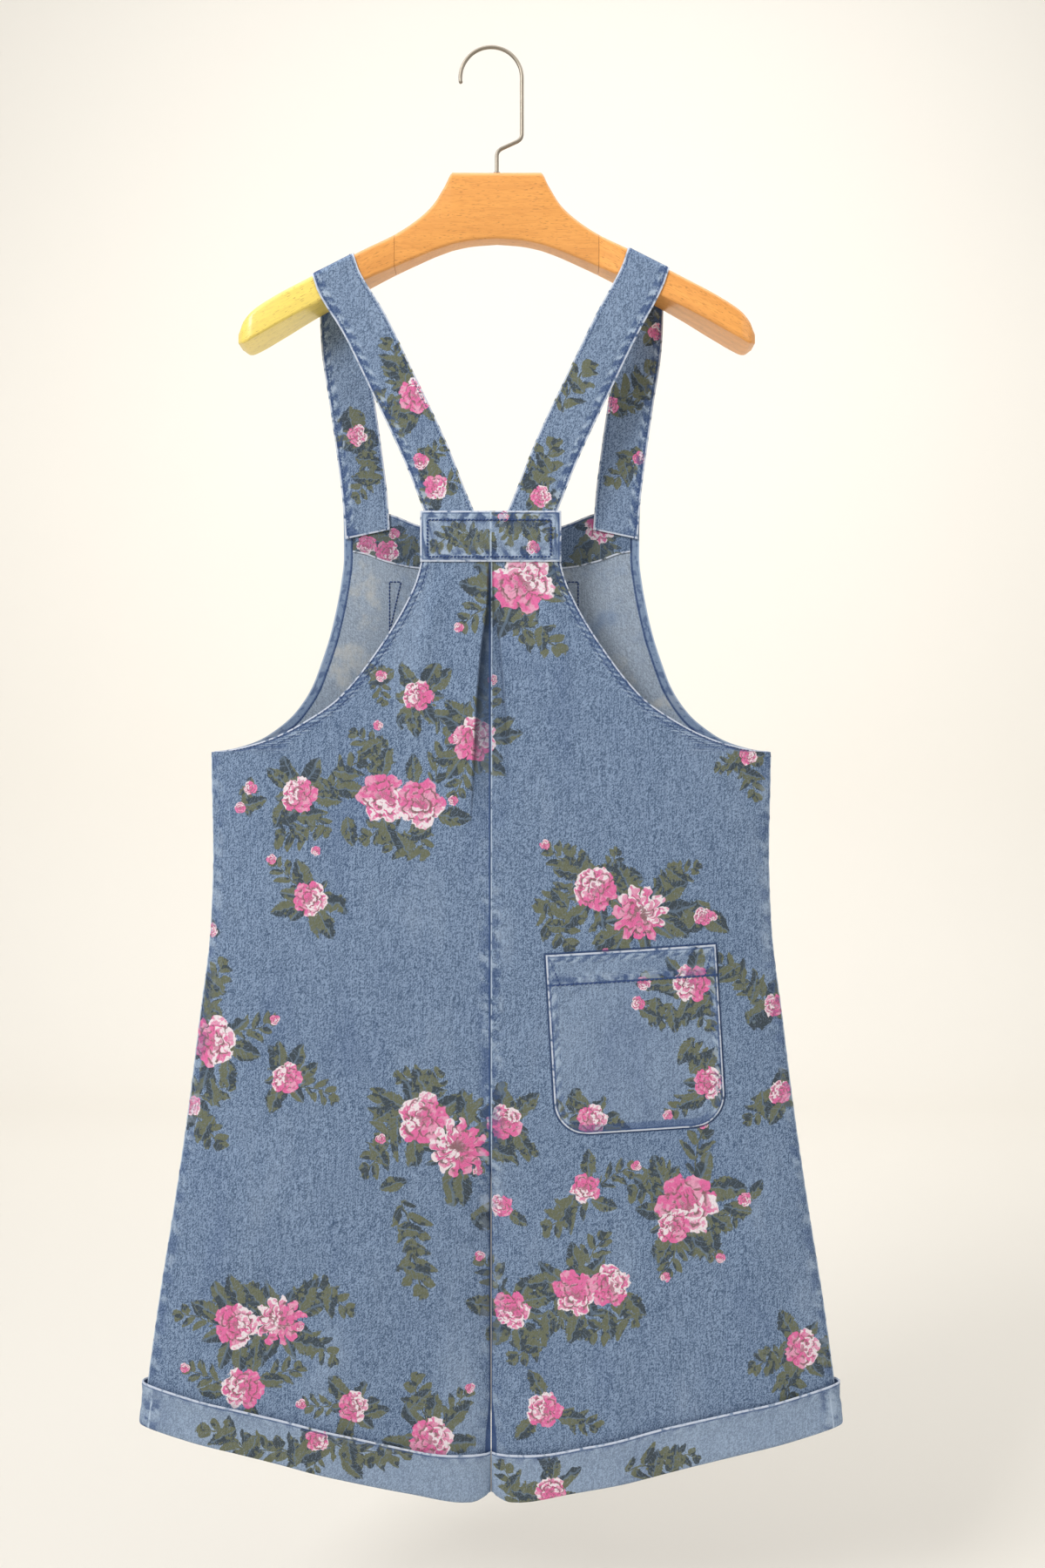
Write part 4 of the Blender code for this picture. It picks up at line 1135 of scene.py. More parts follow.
def finish_named(name):
    """A finish made once and used by every piece that names it."""
    maker, *values = FINISHES[name]
    return bpy.data.materials.get(name) or maker(name, *values)


# Panels.

NEAR_FOLD = (0.0, 0.08, 0.22, 0.42, 0.70, 1.0)
UP_FOLD = (0.25, 0.5, 0.75)
EVEN = np.linspace(0, 1, 55)
ACROSS_PANEL = 0.45 * EVEN + 0.55 * np.sin(EVEN * math.pi / 2)
ACROSS_HEM = (0.12, 0.26, 0.42, 0.58, 0.72, 0.82, 0.90, 0.96, 1.0)
EDGE_STEP = 0.0034
TORSO_ROWS = 95
LEG_ROWS = 62


def columns(inner, fold, edge):
    """x across a panel: to the pleat's fold, up it, over the panel, and over the hem's band."""
    inner, fold, edge = (np.asarray(v, float)[..., None] for v in (inner, fold, edge))
    ends = (inner, fold - PLEAT_RISE, fold, edge - HEM_BAND, edge)
    shares = (NEAR_FOLD, UP_FOLD, ACROSS_PANEL, ACROSS_HEM)
    return np.concatenate([a + (b - a) * np.array(s) for a, b, s in zip(ends, ends[1:], shares)], axis=-1)


def side_height(height, shares):
    """Where slanted rows meet the side seam, by repeated substitution."""
    z = height(HEM[-1].x, shares)
    for _ in range(8):
        z = height(side_edge(z), shares)
    return z


def leg_height(x, share):
    hem = along(HEM, "x", "z", x) + LEG_LIFT
    return CROTCH + (hem - CROTCH) * share


def cuff_height(x, share):
    foot, top = along(HEM, "x", "z", x), along(CUFF_TOP, "x", "z", x)
    return foot + (top - foot) * share


def armhole_run(armhole):
    """The armhole's edge at even steps of its length: heights and half widths."""
    edge = np.array(armhole)
    run = run_along(edge)
    at = np.linspace(0, run[-1], round(run[-1] / EDGE_STEP))
    return smooth_through(run, edge[:, 0], at), smooth_through(run, edge[:, 1], at)


def panel_grid(side, armhole):
    """x, z, and how far each point is from the armhole's edge and along it, from the top to the foot."""
    z_arm, half_arm = armhole_run(armhole)
    z_torso = np.linspace(UNDERARM, CROTCH, TORSO_ROWS)[1:]
    shares = np.linspace(0, 1, LEG_ROWS)[1:]
    z_leg = side_height(leg_height, shares)
    z_side = np.concatenate([z_arm, z_torso, z_leg])
    edge = np.concatenate([half_arm, side_edge(z_torso), side_edge(z_leg)])
    x = columns(inner_edge(z_side), along(PLEAT, "z", "fold", z_side), edge)
    z = np.repeat(z_side[:, None], x.shape[1], axis=1)
    first_leg = len(z_arm) + len(z_torso)
    z[first_leg:] = leg_height(x[first_leg:], shares[:, None])
    if side > 0:
        above = along(BIB_TOP, "x", "z", x[0]) - z_side[0]
        z += above * (1 - smooth(0.0, BIB_EASE, z_side[0] - z_side))[:, None]
    path = np.stack([z_side, edge], axis=-1)
    down, out = np.gradient(path, axis=0).T
    slope = np.abs(down / np.hypot(down, out))[:, None]
    from_edge = (edge[:, None] - x) * np.maximum(slope, LEAST_SLOPE)
    on_arm = np.arange(len(z_side))[:, None] < len(z_arm)
    run = np.broadcast_to(run_along(path)[:, None], x.shape)
    return x, z, np.where(on_arm, from_edge, FAR), run, np.where(on_arm, FAR, from_edge)


def panel(name, side, hand, armhole, motifs):
    """A quarter of the body, half the back or front with its leg, as a wall with its hems and seams."""
    x, z, to_hem, run, to_side = panel_grid(side, armhole)
    seed = 2 * side + hand
    out = hem_relief(to_hem, run, HEM_BAND, seed, ARMHOLE_LINES)
    if side > 0:
        top = along(BIB_TOP, "x", "z", x) - z
        out = out + hem_relief(top, x, WIDE_HEM, seed + 3, (EDGE_LINE,)) * (to_hem > HEM_BAND)
        to_hem = np.minimum(to_hem, top)
    centre = x - inner_edge(z)
    lap = LAP_RISE * np.exp(-(((centre - LAP) / LAP) ** 2)) * (hand > 0)
    beside = np.exp(-centre / SEAM_REACH) + np.exp(-np.maximum(to_side, 0) / SEAM_REACH)
    out = out + lap + SEAM_PUCKER * beside * puckers(-z * 0.8, centre, seed)
    grid = surface(side, hand * x, z)
    n = normals(grid, side)
    points, faces, sides = shell(grid + n * (WALL / 2 + out)[..., None], grid - n * (WALL / 2))
    points[:, 0] = hand * np.maximum(points[:, 0] * hand, SEAM / 2)
    points[:, 1] = side * np.maximum(points[:, 1] * side, SEAM / 2)
    piece = make_mesh(name, points, faces, ("printed_denim", "reverse_denim"), "denim", sides)
    rope = 0.75 * (1 - smooth(HEM_BAND, HEM_BAND * 1.4, to_hem))
    blotch_and_shade = hand * (0.15 + 0.65 * smooth(*WORN_SEAT, z)) if side < 0 else 0.6
    # Painted shadow: a dark line beside the inner leg seams below the crotch, where the legs meet.
    blotch_and_shade = np.where(z < CROTCH, -0.35, blotch_and_shade)
    blotch_and_shade = np.where(to_side < centre, 0.55, blotch_and_shade)
    fold = x - along(PLEAT, "z", "fold", z) + PLEAT_RISE
    # Painted shade in the pleat's underlay, on cloth that is also less worn: full on the left half, which its
    # fold shades from the key light, and 0.24 on the right.
    inside_fold = (side < 0) * (1 - smooth(0.0, PLEAT_RISE, fold)) * (0.62 - 0.38 * hand)
    unworn_and_shade = inside_fold * along(PLEAT, "z", "recess", z) / DEEPEST
    mark_wear(piece, to_hem, run, rope, np.minimum(centre, to_side), unworn_and_shade, blotch_and_shade)
    print_on(piece, motifs)


# Pieces sewn on the panels.


def lie_on(name, side, x, z, lift, thickness, out, finish, shows=1):
    """A piece made from a panel's own points, lifted off it, with its relief on the side that shows."""
    grid = surface(side, x, z)
    n = normals(grid, side)
    grid = grid + n * np.broadcast_to(lift, x.shape)[..., None]
    outer = grid + n * shows * (thickness / 2 + out)[..., None]
    points, faces, sides = shell(outer, grid - n * shows * (thickness / 2))
    return make_mesh(name, points, faces, (finish, "reverse_denim"), "denim", sides)


def tab_distances(x, z):
    """How far a point of the tab is from its nearest edge, and how far along that edge it is."""
    ends = TAB_HALF_WIDTH - np.abs(x)
    level = np.minimum(TAB_TOP - z, z - TAB_FOOT)
    return np.minimum(ends, level), np.where(ends < level, z + 1, x)


def tab_lift(z):
    on_panel = (WALL + STRAP_WALL) / 2 + SEAM
    over_strap = on_panel + STRAP_WALL + SEAM
    sink = smooth(TAB_SINK, TAB_FOOT + HEM_BAND / 2, z)
    return over_strap + (on_panel - over_strap) * sink


def even_ends(count):
    """Steps from 0 to 1 that crowd towards both ends."""
    t = np.linspace(0, 1, count)
    return 0.5 * t + 0.5 * (0.5 - 0.5 * np.cos(math.pi * t))


def make_tab():
    across = TAB_HALF_WIDTH * (2 * even_ends(81) - 1)
    x, z = np.meshgrid(across, TAB_TOP + (TAB_FOOT - TAB_TOP) * even_ends(37))
    distance, run = tab_distances(x, z)
    out = hem_relief(distance, run, WIDE_HEM, 11, (0.0085,))
    out = out + 0.00035 * smooth(0.006, 0.012, distance) * puckers(x * 0.75, 0.3 * z, 4)
    out = out + 0.0003 * np.exp(-((x / TAB_RIDGE) ** 2))
    piece = lie_on("back_tab", -1, x, z, tab_lift(z), STRAP_WALL, out, "tab_denim")
    rope = 0.55 + 0.45 * (1 - smooth(0.008, 0.012, distance))
    reach = np.minimum(distance, 0.0055 + 0.2 * distance)
    mark_wear(piece, reach, x * 0.9 + 0.3 * z, rope, np.abs(x) + 0.0004, 0.0, 0.01)
    print_on(piece, bouquet(TAB_BLOOMS, TAB_LEAVES))


def rounded(shape, p, q):
    """How far inside a pocket's outline a point is: its foot has round corners, and q runs down."""
    dx = np.abs(p) - (shape.width / 2 - shape.corner)
    dy = q - (shape.height - shape.corner)
    corner = np.hypot(np.maximum(dx, 0), np.maximum(dy, 0)) + np.minimum(np.maximum(dx, dy), 0)
    return shape.corner - corner


def pocket_place(shape, p, q):
    """A point of a pocket, from its own across and down to the garment's x and z."""
    tilt = math.radians(shape.tilt)
    up = shape.height / 2 - q
    x = shape.x + p * math.cos(tilt) - up * math.sin(tilt)
    return x, shape.z + p * math.sin(tilt) + up * math.cos(tilt)


def make_pocket(name, side, shape, motifs, seed):
    q = shape.height * even_ends(56)
    low = np.maximum(q - (shape.height - shape.corner), 0)
    half = shape.width / 2 - shape.corner + np.sqrt(np.maximum(shape.corner**2 - low**2, 0))
    p = (2 * even_ends(51) - 1)[None, :] * half[:, None]
    q = np.repeat(q[:, None], p.shape[1], axis=1)
    x, z = pocket_place(shape, p, q)
    distance = rounded(shape, p, q)
    down = distance < q
    out = hem_relief(np.minimum(distance, q + 0.0008), np.where(down, q + p, p), 0.007, seed, (EDGE_LINE,))
    hem = 1 - smooth(POCKET_HEM - 0.0005, POCKET_HEM + 0.0012, q)
    out = out + 0.0004 * hem + 0.0003 * hem * puckers(p, q * 0.4, seed) * smooth(0.012, 0.022, q)
    piece = lie_on(name, side, x, z, WALL + SEAM, WALL, out, "pocket_denim")
    edge = np.minimum(distance, q)
    band = np.exp(-(((q - POCKET_HEM + 0.004) / 0.004) ** 2))
    worn = np.where(band > 0.3, np.minimum(edge, 0.0045), edge)
    run = 0.6 * np.where(down, q + 0.3, p)
    rope = np.maximum(0.75 * (1 - smooth(0.006, 0.010, edge)), 0.9 * band)
    blotch_and_shade = np.where(q < POCKET_HEM, -0.60, 0.15)
    mark_wear(piece, worn, run, rope, np.abs(q - POCKET_HEM) + 0.0004, 0.0, blotch_and_shade)
    print_on(piece, motifs)
    shape.width * shape.height * 0.985


def make_facing():
    half = FRONT_ARMHOLE[1].half_width - HEM_BAND - 2 * SEAM
    x = np.repeat([half * (2 * even_ends(71) - 1)], 15, axis=0)
    top = along(BIB_TOP, "x", "z", np.abs(x)) - SEAM
    foot = along(FACING_FOOT, "x", "z", np.abs(x))
    z = top + (foot - top) * even_ends(15)[:, None]
    to_top = top - z
    distance = np.minimum(to_top, z - foot)
    out = 0.0002 * puckers(x, z, 5) * (1 - smooth(0.003, 0.008, distance))
    lift = -((WALL + FACING_WALL) / 2 + SEAM)
    piece = lie_on("bib_facing", 1, x, z, lift, FACING_WALL, out, "facing_denim", -1)
    mark_wear(piece, distance, x, 0.6 * (1 - smooth(0.002, 0.007, to_top)), FAR, 0.35)
    print_on(piece, bouquet(FACING_BLOOMS, FACING_LEAVES))


# Cuffs.

CUFF_EDGE = 1.004
CUFF_SECTION = (
    (0.0, 0.820), (0.40, 0.800), (0.85, 0.86), (1.25, 0.950), (1.42, 1.000), (1.60, 1.010), (1.80, 1.004),
    (1.90, 0.985), (1.84, 0.940), (1.62, 0.86), (1.36, 0.740), (1.21, 0.60), (1.17, 0.44), (1.14, 0.26),
    (1.07, 0.12), (0.96, 0.05), (0.70, 0.012), (0.35, 0.0), (-0.05, -0.002), (-0.30, 0.008), (-0.36, 0.028),
    (-0.28, 0.050), (-0.08, 0.058), (0.0, 0.10), (0.0, 0.35), (0.0, 0.7),
)


def leg_ring(share, hand):
    """A leg's middle surface round from the inner side over the back and the front, with its outward
    mitred normals. Its points stand where the panels' columns do."""
    z_side = side_height(cuff_height, share)
    row = columns(inner_edge(z_side), along(PLEAT, "z", "fold", z_side), side_edge(z_side))
    z = cuff_height(row, share)
    back = np.stack([row, -depth(-1, row, z, hand), z], axis=-1)
    front = np.stack([row, depth(1, row, z), z], axis=-1)
    ring = np.concatenate([back, front[-2:0:-1]])
    ring[[0, len(row) - 1], 1] = 0.0
    run = np.roll(ring, -1, axis=0) - ring
    away = np.stack([run[:, 1], -run[:, 0], np.zeros(len(run))], axis=-1)
    away /= np.linalg.norm(away, axis=1, keepdims=True)
    mitre = away + np.roll(away, 1, axis=0)
    mitre /= np.linalg.norm(mitre, axis=1, keepdims=True)
    reach = np.sum(mitre * away, axis=1, keepdims=True)
    return ring, mitre / np.maximum(reach, MOST_MITRE)


def make_cuff(name, hand):
    """The turned-up band: its J section carried round the leg, with soft ripples and a worn top edge."""
    loops, tops, runs = [], [], []
    for out, share in CUFF_SECTION:
        ring, away = leg_ring(share, hand)
        run = run_along(ring)
        swell = 0.0004 * puckers(run * 0.35, share, 6 + hand) * max(out, 0) * (1 - share) * share * 4
        offset = (WALL / 2 + SEAM + CUFF_WALL * out if out >= 0 else CUFF_WALL * out * 0.5) + swell
        loops.append(ring + away * offset[:, None])
        tops.append(np.full(len(ring), (CUFF_EDGE - share) * 0.040 if out > 0.5 else 0.03))
        runs.append(run)
    loops = np.array(loops)
    loops[..., 0] = np.maximum(loops[..., 0], SEAM / 2) * hand
    rows, count = loops.shape[:2]
    points = loops.reshape(-1, 3)
    piece = make_mesh(name, points, quads(rows, count, True, True), ("cuff_denim",), "denim", sharp=50)
    top = np.array(tops).ravel()
    rope = 0.5 * (1 - smooth(0.003, 0.008, top))
    mark(piece, "wear", np.stack([top, np.array(runs).ravel(), rope], axis=-1))
    seam = np.minimum(np.abs(points[:, 0] * hand - side_edge(points[:, 2]) + 0.007), FAR)
    # Painted shade in the slot inside the turn-up's top, where the cloth is also unworn.
    slot_shade_unworn = np.repeat([1.0 * (share > 0.79 and out < 1.43) for out, share in CUFF_SECTION], count)
    mark(piece, "seam", np.stack([seam, slot_shade_unworn, np.full(len(seam), 0.8)], axis=-1))
    print_on_both(piece, bouquet(CUFF_BLOOMS, CUFF_LEAVES), bouquet(FRONT_CUFF_BLOOMS, FRONT_CUFF_LEAVES))


# Straps.

HALF_STRAP = (0.16, 0.28, 0.36, 0.42, 0.46, 0.485, 0.5)
STRAP_ACROSS = np.array([*(-share for share in reversed(HALF_STRAP)), 0, *HALF_STRAP])


def band_row(station):
    turn = math.radians(station.tilt)
    x = station.x + STRAP_ACROSS * STRAP_WIDTH * math.cos(turn)
    z = station.z - STRAP_ACROSS * STRAP_WIDTH * math.sin(turn)
    return np.stack([x, np.full_like(x, station.y), z], axis=-1)


def saddle(hand):
    """The strap's rows over the arm: round the wood's own faces and corners, just clear of them."""
    off = (SEAM + STRAP_WALL / 2) / math.cos(ARM_SLOPE)
    turns = np.array((1.3, 1.0, 0.75, 0.5, 0.25))
    turned = (ARM_CORNER + off) * np.stack([np.sin(turns), np.cos(turns)], axis=-1) - ARM_CORNER
    over = [(off, -SADDLE_DROP), (off, -0.011), (off, -ARM_CORNER), *turned, (-ARM_CORNER, off)]
    rows = []
    for side, lean in ((-1, SADDLE_LEAN), (1, SADDLE_LEAN / 3)):
        half_way = []
        for out, rise in over:
            shift = lean * max(0.0, -rise) / SADDLE_DROP
            x = SADDLE_X - shift + STRAP_ACROSS * STRAP_WIDTH * math.cos(ARM_SLOPE)
            reach = np.abs(hand * x - HANGER_X)
            y = side * (along(ARM, "reach", "half_depth", reach) + out)
            half_way.append(np.stack([x, y, along(ARM, "reach", "top", reach) + rise], axis=-1))
        rows += half_way if side < 0 else half_way[::-1]
    return rows


def strap_grid(hand):
    """The strap's middle surface at even steps of its run, its normals and that run."""
    rows = [band_row(s) for s in STRAP_BACK_RUN] + saddle(hand) + [band_row(s) for s in STRAP_FRONT_RUN]
    grid = np.array(rows)
    run = run_along(grid[:, len(STRAP_ACROSS) // 2])
    at = np.unique(np.concatenate([np.linspace(0, run[-1], 190), run]))
    flat = [smooth_through(run, column, at) for column in grid.reshape(len(grid), -1).T]
    x, y, z = np.moveaxis(np.stack(flat, axis=-1).reshape(len(at), -1, 3), -1, 0)
    on_panel = depth(-1, x, z) + (WALL + STRAP_WALL) / 2 + SEAM
    in_bib = depth(1, x, z) - (WALL + STRAP_WALL) / 2 - FACING_WALL - 2 * SEAM - SEAM / 2
    y = np.where((y < 0) & (z < TAB_TOP), -on_panel, y)
    y = np.where((y > 0) & (z < BIB_TOP[-1].z + STRAP_EASE), np.minimum(y, in_bib), y)
    grid = np.stack([hand * x, y, z], axis=-1)
    return grid, normals(grid, -1, slice(40)), at


def make_strap(name, hand):
    grid, n, run = strap_grid(hand)
    across, run = np.broadcast_arrays(STRAP_ACROSS * STRAP_WIDTH, run[:, None])
    distance = np.minimum(STRAP_WIDTH / 2 - np.abs(across), run[-1] - run)
    relief = -0.0004 * (1 - smooth(0, EDGE_ROUND, distance))
    relief = relief - 0.0002 * np.exp(-(((distance - 0.0017) / 0.0006) ** 2))
    pucker = bpy.context.scene.shortalls_cloth.pucker * 0.7 * smooth(0.008, 0.014, across)
    ripple = np.maximum(pucker * puckers(run, distance, hand), -0.0002)
    outer = grid + n * (STRAP_WALL / 2 + relief + ripple)[..., None]
    points, faces, _ = shell(outer, grid - n * (STRAP_WALL / 2 + relief)[..., None])
    piece = make_mesh(name, points, faces, ("strap_denim",), "denim", sharp=50)
    mark_wear(piece, distance, run, 0.95 * smooth(0.005, 0.011, across))
    back = bouquet(STRAP_BACK_BLOOMS, STRAP_BACK_LEAVES)
    print_on_both(piece, back, bouquet(STRAP_FRONT_BLOOMS, STRAP_FRONT_LEAVES))


# Stitching.


STITCH_RINGS = (
    (-0.50, 0.35, -0.55), (-0.34, 0.85, -0.10), (0.0, 1.0, 0.15), (0.34, 0.85, -0.10), (0.50, 0.35, -0.55),
)
STITCH_SIDES = 6


def at_steps(points, run, at):
    """A path's points, or what belongs to them, at these lengths along it."""
    return np.stack([np.interp(at, run, points[:, k]) for k in range(3)], axis=-1)


def stitch_line(points, out, pitch, fill=0.80, radius=0.00036, slant=0.0):
    """Stitches along a path: each is a bar with a swelling middle and ends that dip into the cloth.

    A bar's rings stand at STITCH_RINGS (along, width, height), in units of its length and radius.
    """
    run = run_along(points)
    at = np.arange(pitch / 2, run[-1], pitch)
    middle = at_steps(points, run, at)
    way = at_steps(points, run, at + pitch / 4) - at_steps(points, run, at - pitch / 4)
    way /= np.maximum(np.linalg.norm(way, axis=1, keepdims=True), 1e-9)
    n = at_steps(out, run, at)
    n -= way * np.sum(n * way, axis=1, keepdims=True)
    n /= np.linalg.norm(n, axis=1, keepdims=True)
    aside = np.cross(n, way)
    way = way * math.cos(slant) + aside * math.sin(slant)
    aside = np.cross(n, way)
    middle, way, n, aside = (v[:, None, None] for v in (middle, way, n, aside))
    turn = (np.arange(STITCH_SIDES) * 2 * math.pi / STITCH_SIDES)[:, None]
    along_it, width, height = np.array(STITCH_RINGS).T[:, :, None, None]
    place = middle + way * (along_it * pitch * fill) + n * (height * radius)
    points = place + (aside * np.cos(turn) + n * np.sin(turn)) * (width * radius)
    rings = len(STITCH_RINGS)
    last = (rings - 1) * STITCH_SIDES
    cap = np.array([[0, 1, 2, 3], [0, 3, 4, 5]])
    one = np.concatenate([quads(rings, STITCH_SIDES, False, True), cap, cap[:, ::-1] + last])
    faces = one + (np.arange(len(middle)) * rings * STITCH_SIDES)[:, None, None]
    return points.reshape(-1, 3), faces.reshape(-1, 4)


def sew(name, lines):
    """One piece from several lines of stitches."""
    starts = np.cumsum([0] + [len(points) for points, _ in lines])
    points = np.concatenate([points for points, _ in lines])
    faces = np.concatenate([faces + start for (_, faces), start in zip(lines, starts)])
    make_mesh(name, points, faces, ("dark_thread",), "stitching", sharp=0, dresses=False)


def on_armhole(side, hand, armhole, inset, lift):
    """A path along an armhole, set in from its edge across the cloth."""
    z, half = armhole_run(armhole)
    dz, dx = np.gradient(z), np.gradient(half)
    length = np.hypot(dz, dx)
    x = half + inset * dz / length
    z = z - inset * dx / length
    keep = (z > UNDERARM + 0.001) & (z < z.max() - 0.002)
    return stand(side, hand * x[keep], z[keep], lift)


def on_pocket(shape, side, inset, lift):
    """A path round a pocket's sides and foot, set in from its outline."""
    half, foot, corner = shape.width / 2 - inset, shape.height - inset, shape.corner - inset
    turn = np.linspace(0, math.pi / 2, 14)
    down = np.linspace(0.001, foot - corner, 30)
    p = np.concatenate([np.full(30, -half), -half + corner - corner * np.cos(turn)])
    q = np.concatenate([down, foot - corner + corner * np.sin(turn)])
    p, q = np.concatenate([p, -p[::-1]]), np.concatenate([q, q[::-1]])
    return stand(side, *pocket_place(shape, p, q), lift)


def straight(side, corners, lift):
    """Paths from each corner to the next, lifted off a panel by a function of z."""
    t = np.linspace(0, 1, 40)
    for (x0, z0), (x1, z1) in zip(corners, corners[1:]):
        z = z0 + (z1 - z0) * t
        yield stand(side, x0 + (x1 - x0) * t, z, lift(z))


# Hanger.


def arm_sections(reach):
    """The wood's outline at each reach: a board with round top edges and eased lower ones."""
    top, foot, half = (along(ARM, "reach", key, reach)[:, None] for key in ("top", "foot", "half_depth"))
    least = np.minimum((top - foot) / 2, half)
    high, low = np.minimum(ARM_CORNER, least * 0.8), np.minimum(ARM_EDGE, least * 0.4)
    turn = np.linspace(0, math.pi / 2, 9)[None, :]
    y = [half - high + high * np.cos(turn), -(half - high) - high * np.sin(turn)]
    z = [top - high + high * np.sin(turn), top - high + high * np.cos(turn)]
    y += [-(half - low) - low * np.cos(turn), half - low + low * np.sin(turn)]
    z += [foot + low - low * np.sin(turn), foot + low - low * np.cos(turn)]
    return np.concatenate(y, axis=1), np.concatenate(z, axis=1)


def make_wood(name, reaches, hand, finish):
    """A stretch of the hanger: its sections carried along X and closed at both ends."""
    y, z = arm_sections(np.abs(reaches))
    x = np.broadcast_to((HANGER_X + hand * reaches)[:, None], y.shape)
    make_mesh(name, *tube(np.stack([x, y, z], axis=-1)), (finish,), "beech", sharp=45)


def bend(start, corner, end):
    """A corner of the wire as a curve that begins and ends HOOK_BEND from it."""
    before = corner + (start - corner) / np.linalg.norm(start - corner) * HOOK_BEND
    after = corner + (end - corner) / np.linalg.norm(end - corner) * HOOK_BEND
    t = np.linspace(0, 1, 12)[:, None]
    return (1 - t) ** 2 * before + 2 * t * (1 - t) * corner + t**2 * after


def make_hook():
    """The wire: a circle carried along the crown's arc, the straight side, the neck and the stem. Its free
    end is a dome."""
    crown = np.array([0.0, WIRE - HOOK_RADIUS])
    angles = np.radians(np.linspace(HOOK_END, 0, 72))
    arc = crown + HOOK_RADIUS * np.stack([np.cos(angles), np.sin(angles)], axis=-1)
    side, neck = np.array([HOOK_RADIUS, HOOK_DROP]), np.array([HANGER_X, HOOK_NECK])
    stem = np.array([HANGER_X, ARM[0].top + SEAM])
    path = np.concatenate([arc, bend(arc[-1], side, neck), bend(side, neck, stem), stem[None]])
    way = np.gradient(path, axis=0)
    way /= np.linalg.norm(way, axis=1, keepdims=True)
    dome = np.linspace(0, 1, DOME_RINGS + 1)[:-1]
    path = np.concatenate([path[0] + WIRE * dome[:, None] * DOME_LENGTH * way[0], path[1:]])
    way = np.concatenate([np.repeat(way[:1], DOME_RINGS, axis=0), way[1:]])
    radius = np.full((len(path), 1), WIRE)
    radius[:DOME_RINGS, 0] = WIRE * np.sqrt(1 - (1 - dome) ** 2) + 1e-5
    turn = np.arange(24) * 2 * math.pi / 24
    across = radius * np.cos(turn)
    x, z = path[:, :1] - across * way[:, 1:], path[:, 1:] + across * way[:, :1]
    rings = np.stack([x, radius * np.sin(turn), z], axis=-1)
    make_mesh("hanger_hook", *tube(rings), ("bright_steel",), "steel", sharp=50)


def make_collar():
    """The washer round the stem, turned from a section with a round outer edge."""
    inside, foot = WIRE + SEAM, ARM[0].top + SEAM
    turn = np.linspace(-math.pi / 2, math.pi / 2, 9)
    r = np.concatenate([[inside], COLLAR_REACH + COLLAR_ROUND * np.cos(turn), [inside]])
    z = foot + COLLAR_HEIGHT * np.concatenate([[0], 0.5 + 0.5 * np.sin(turn), [1]])
    around = (np.arange(40) * 2 * math.pi / 40)[:, None]
    x, y = HANGER_X + r * np.cos(around), r * np.sin(around)
    points = np.stack([x, y, np.broadcast_to(z, x.shape)], axis=-1).reshape(-1, 3)
    make_mesh("hook_collar", points, quads(40, len(r), True, True), ("bright_steel",), "steel")


# Operators.


class SHORTALLS_OT_panels(bpy.types.Operator):
    """Make the four quarters of the body"""

    bl_idname = "shortalls.panels"
    bl_label = "Panels"

    def execute(self, context):
        for hand, word in HANDS:
            panel("back_" + word, -1, hand, BACK_ARMHOLE, bouquet(BACK_BLOOMS, BACK_LEAVES))
            panel("front_" + word, 1, hand, FRONT_ARMHOLE, bouquet(FRONT_BLOOMS, FRONT_LEAVES))
        return {"FINISHED"}


class SHORTALLS_OT_pockets(bpy.types.Operator):
    """Make the back patch pocket and the bib's pocket"""

    bl_idname = "shortalls.pockets"
    bl_label = "Pockets"

    def execute(self, context):
        make_pocket("back_pocket", -1, BACK_POCKET, bouquet(POCKET_BLOOMS, POCKET_LEAVES), 1)
        make_pocket("bib_pocket", 1, BIB_POCKET, bouquet(BIB_POCKET_BLOOMS, BIB_POCKET_LEAVES), 2)
        return {"FINISHED"}


class SHORTALLS_OT_tab(bpy.types.Operator):
    """Make the tab over the back and the facing inside the bib"""

    bl_idname = "shortalls.tab"
    bl_label = "Tab and facing"

    def execute(self, context):
        make_tab()
        make_facing()
        return {"FINISHED"}


class SHORTALLS_OT_cuffs(bpy.types.Operator):
    """Make the turned-up cuffs"""

    bl_idname = "shortalls.cuffs"
    bl_label = "Cuffs"

    def execute(self, context):
        for hand, word in HANDS:
            make_cuff("cuff_" + word, hand)
        return {"FINISHED"}


class SHORTALLS_OT_straps(bpy.types.Operator):
    """Make the straps over the hanger's arms"""

    bl_idname = "shortalls.straps"
    bl_label = "Straps"

    def execute(self, context):
        for hand, word in HANDS:
            make_strap("strap_" + word, hand)
        return {"FINISHED"}


class SHORTALLS_OT_hanger(bpy.types.Operator):
    """Make the wooden hanger and its wire hook"""

    bl_idname = "shortalls.hanger"
    bl_label = "Hanger"

    def execute(self, context):
        tip = ARM[-2].reach + ARM_TIP * np.sin(np.linspace(0, math.pi / 2, 12))[1:]
        arm = np.concatenate([np.linspace(JOINT_REACH + SEAM, ARM[-2].reach, 60), tip])
        make_wood("hanger_block", np.linspace(-JOINT_REACH, JOINT_REACH, 111), 1, "varnished_beech")
        for hand, word in HANDS:
            make_wood("hanger_arm_" + word, arm, hand, word + "_beech")
        make_hook()
        make_collar()
        return {"FINISHED"}


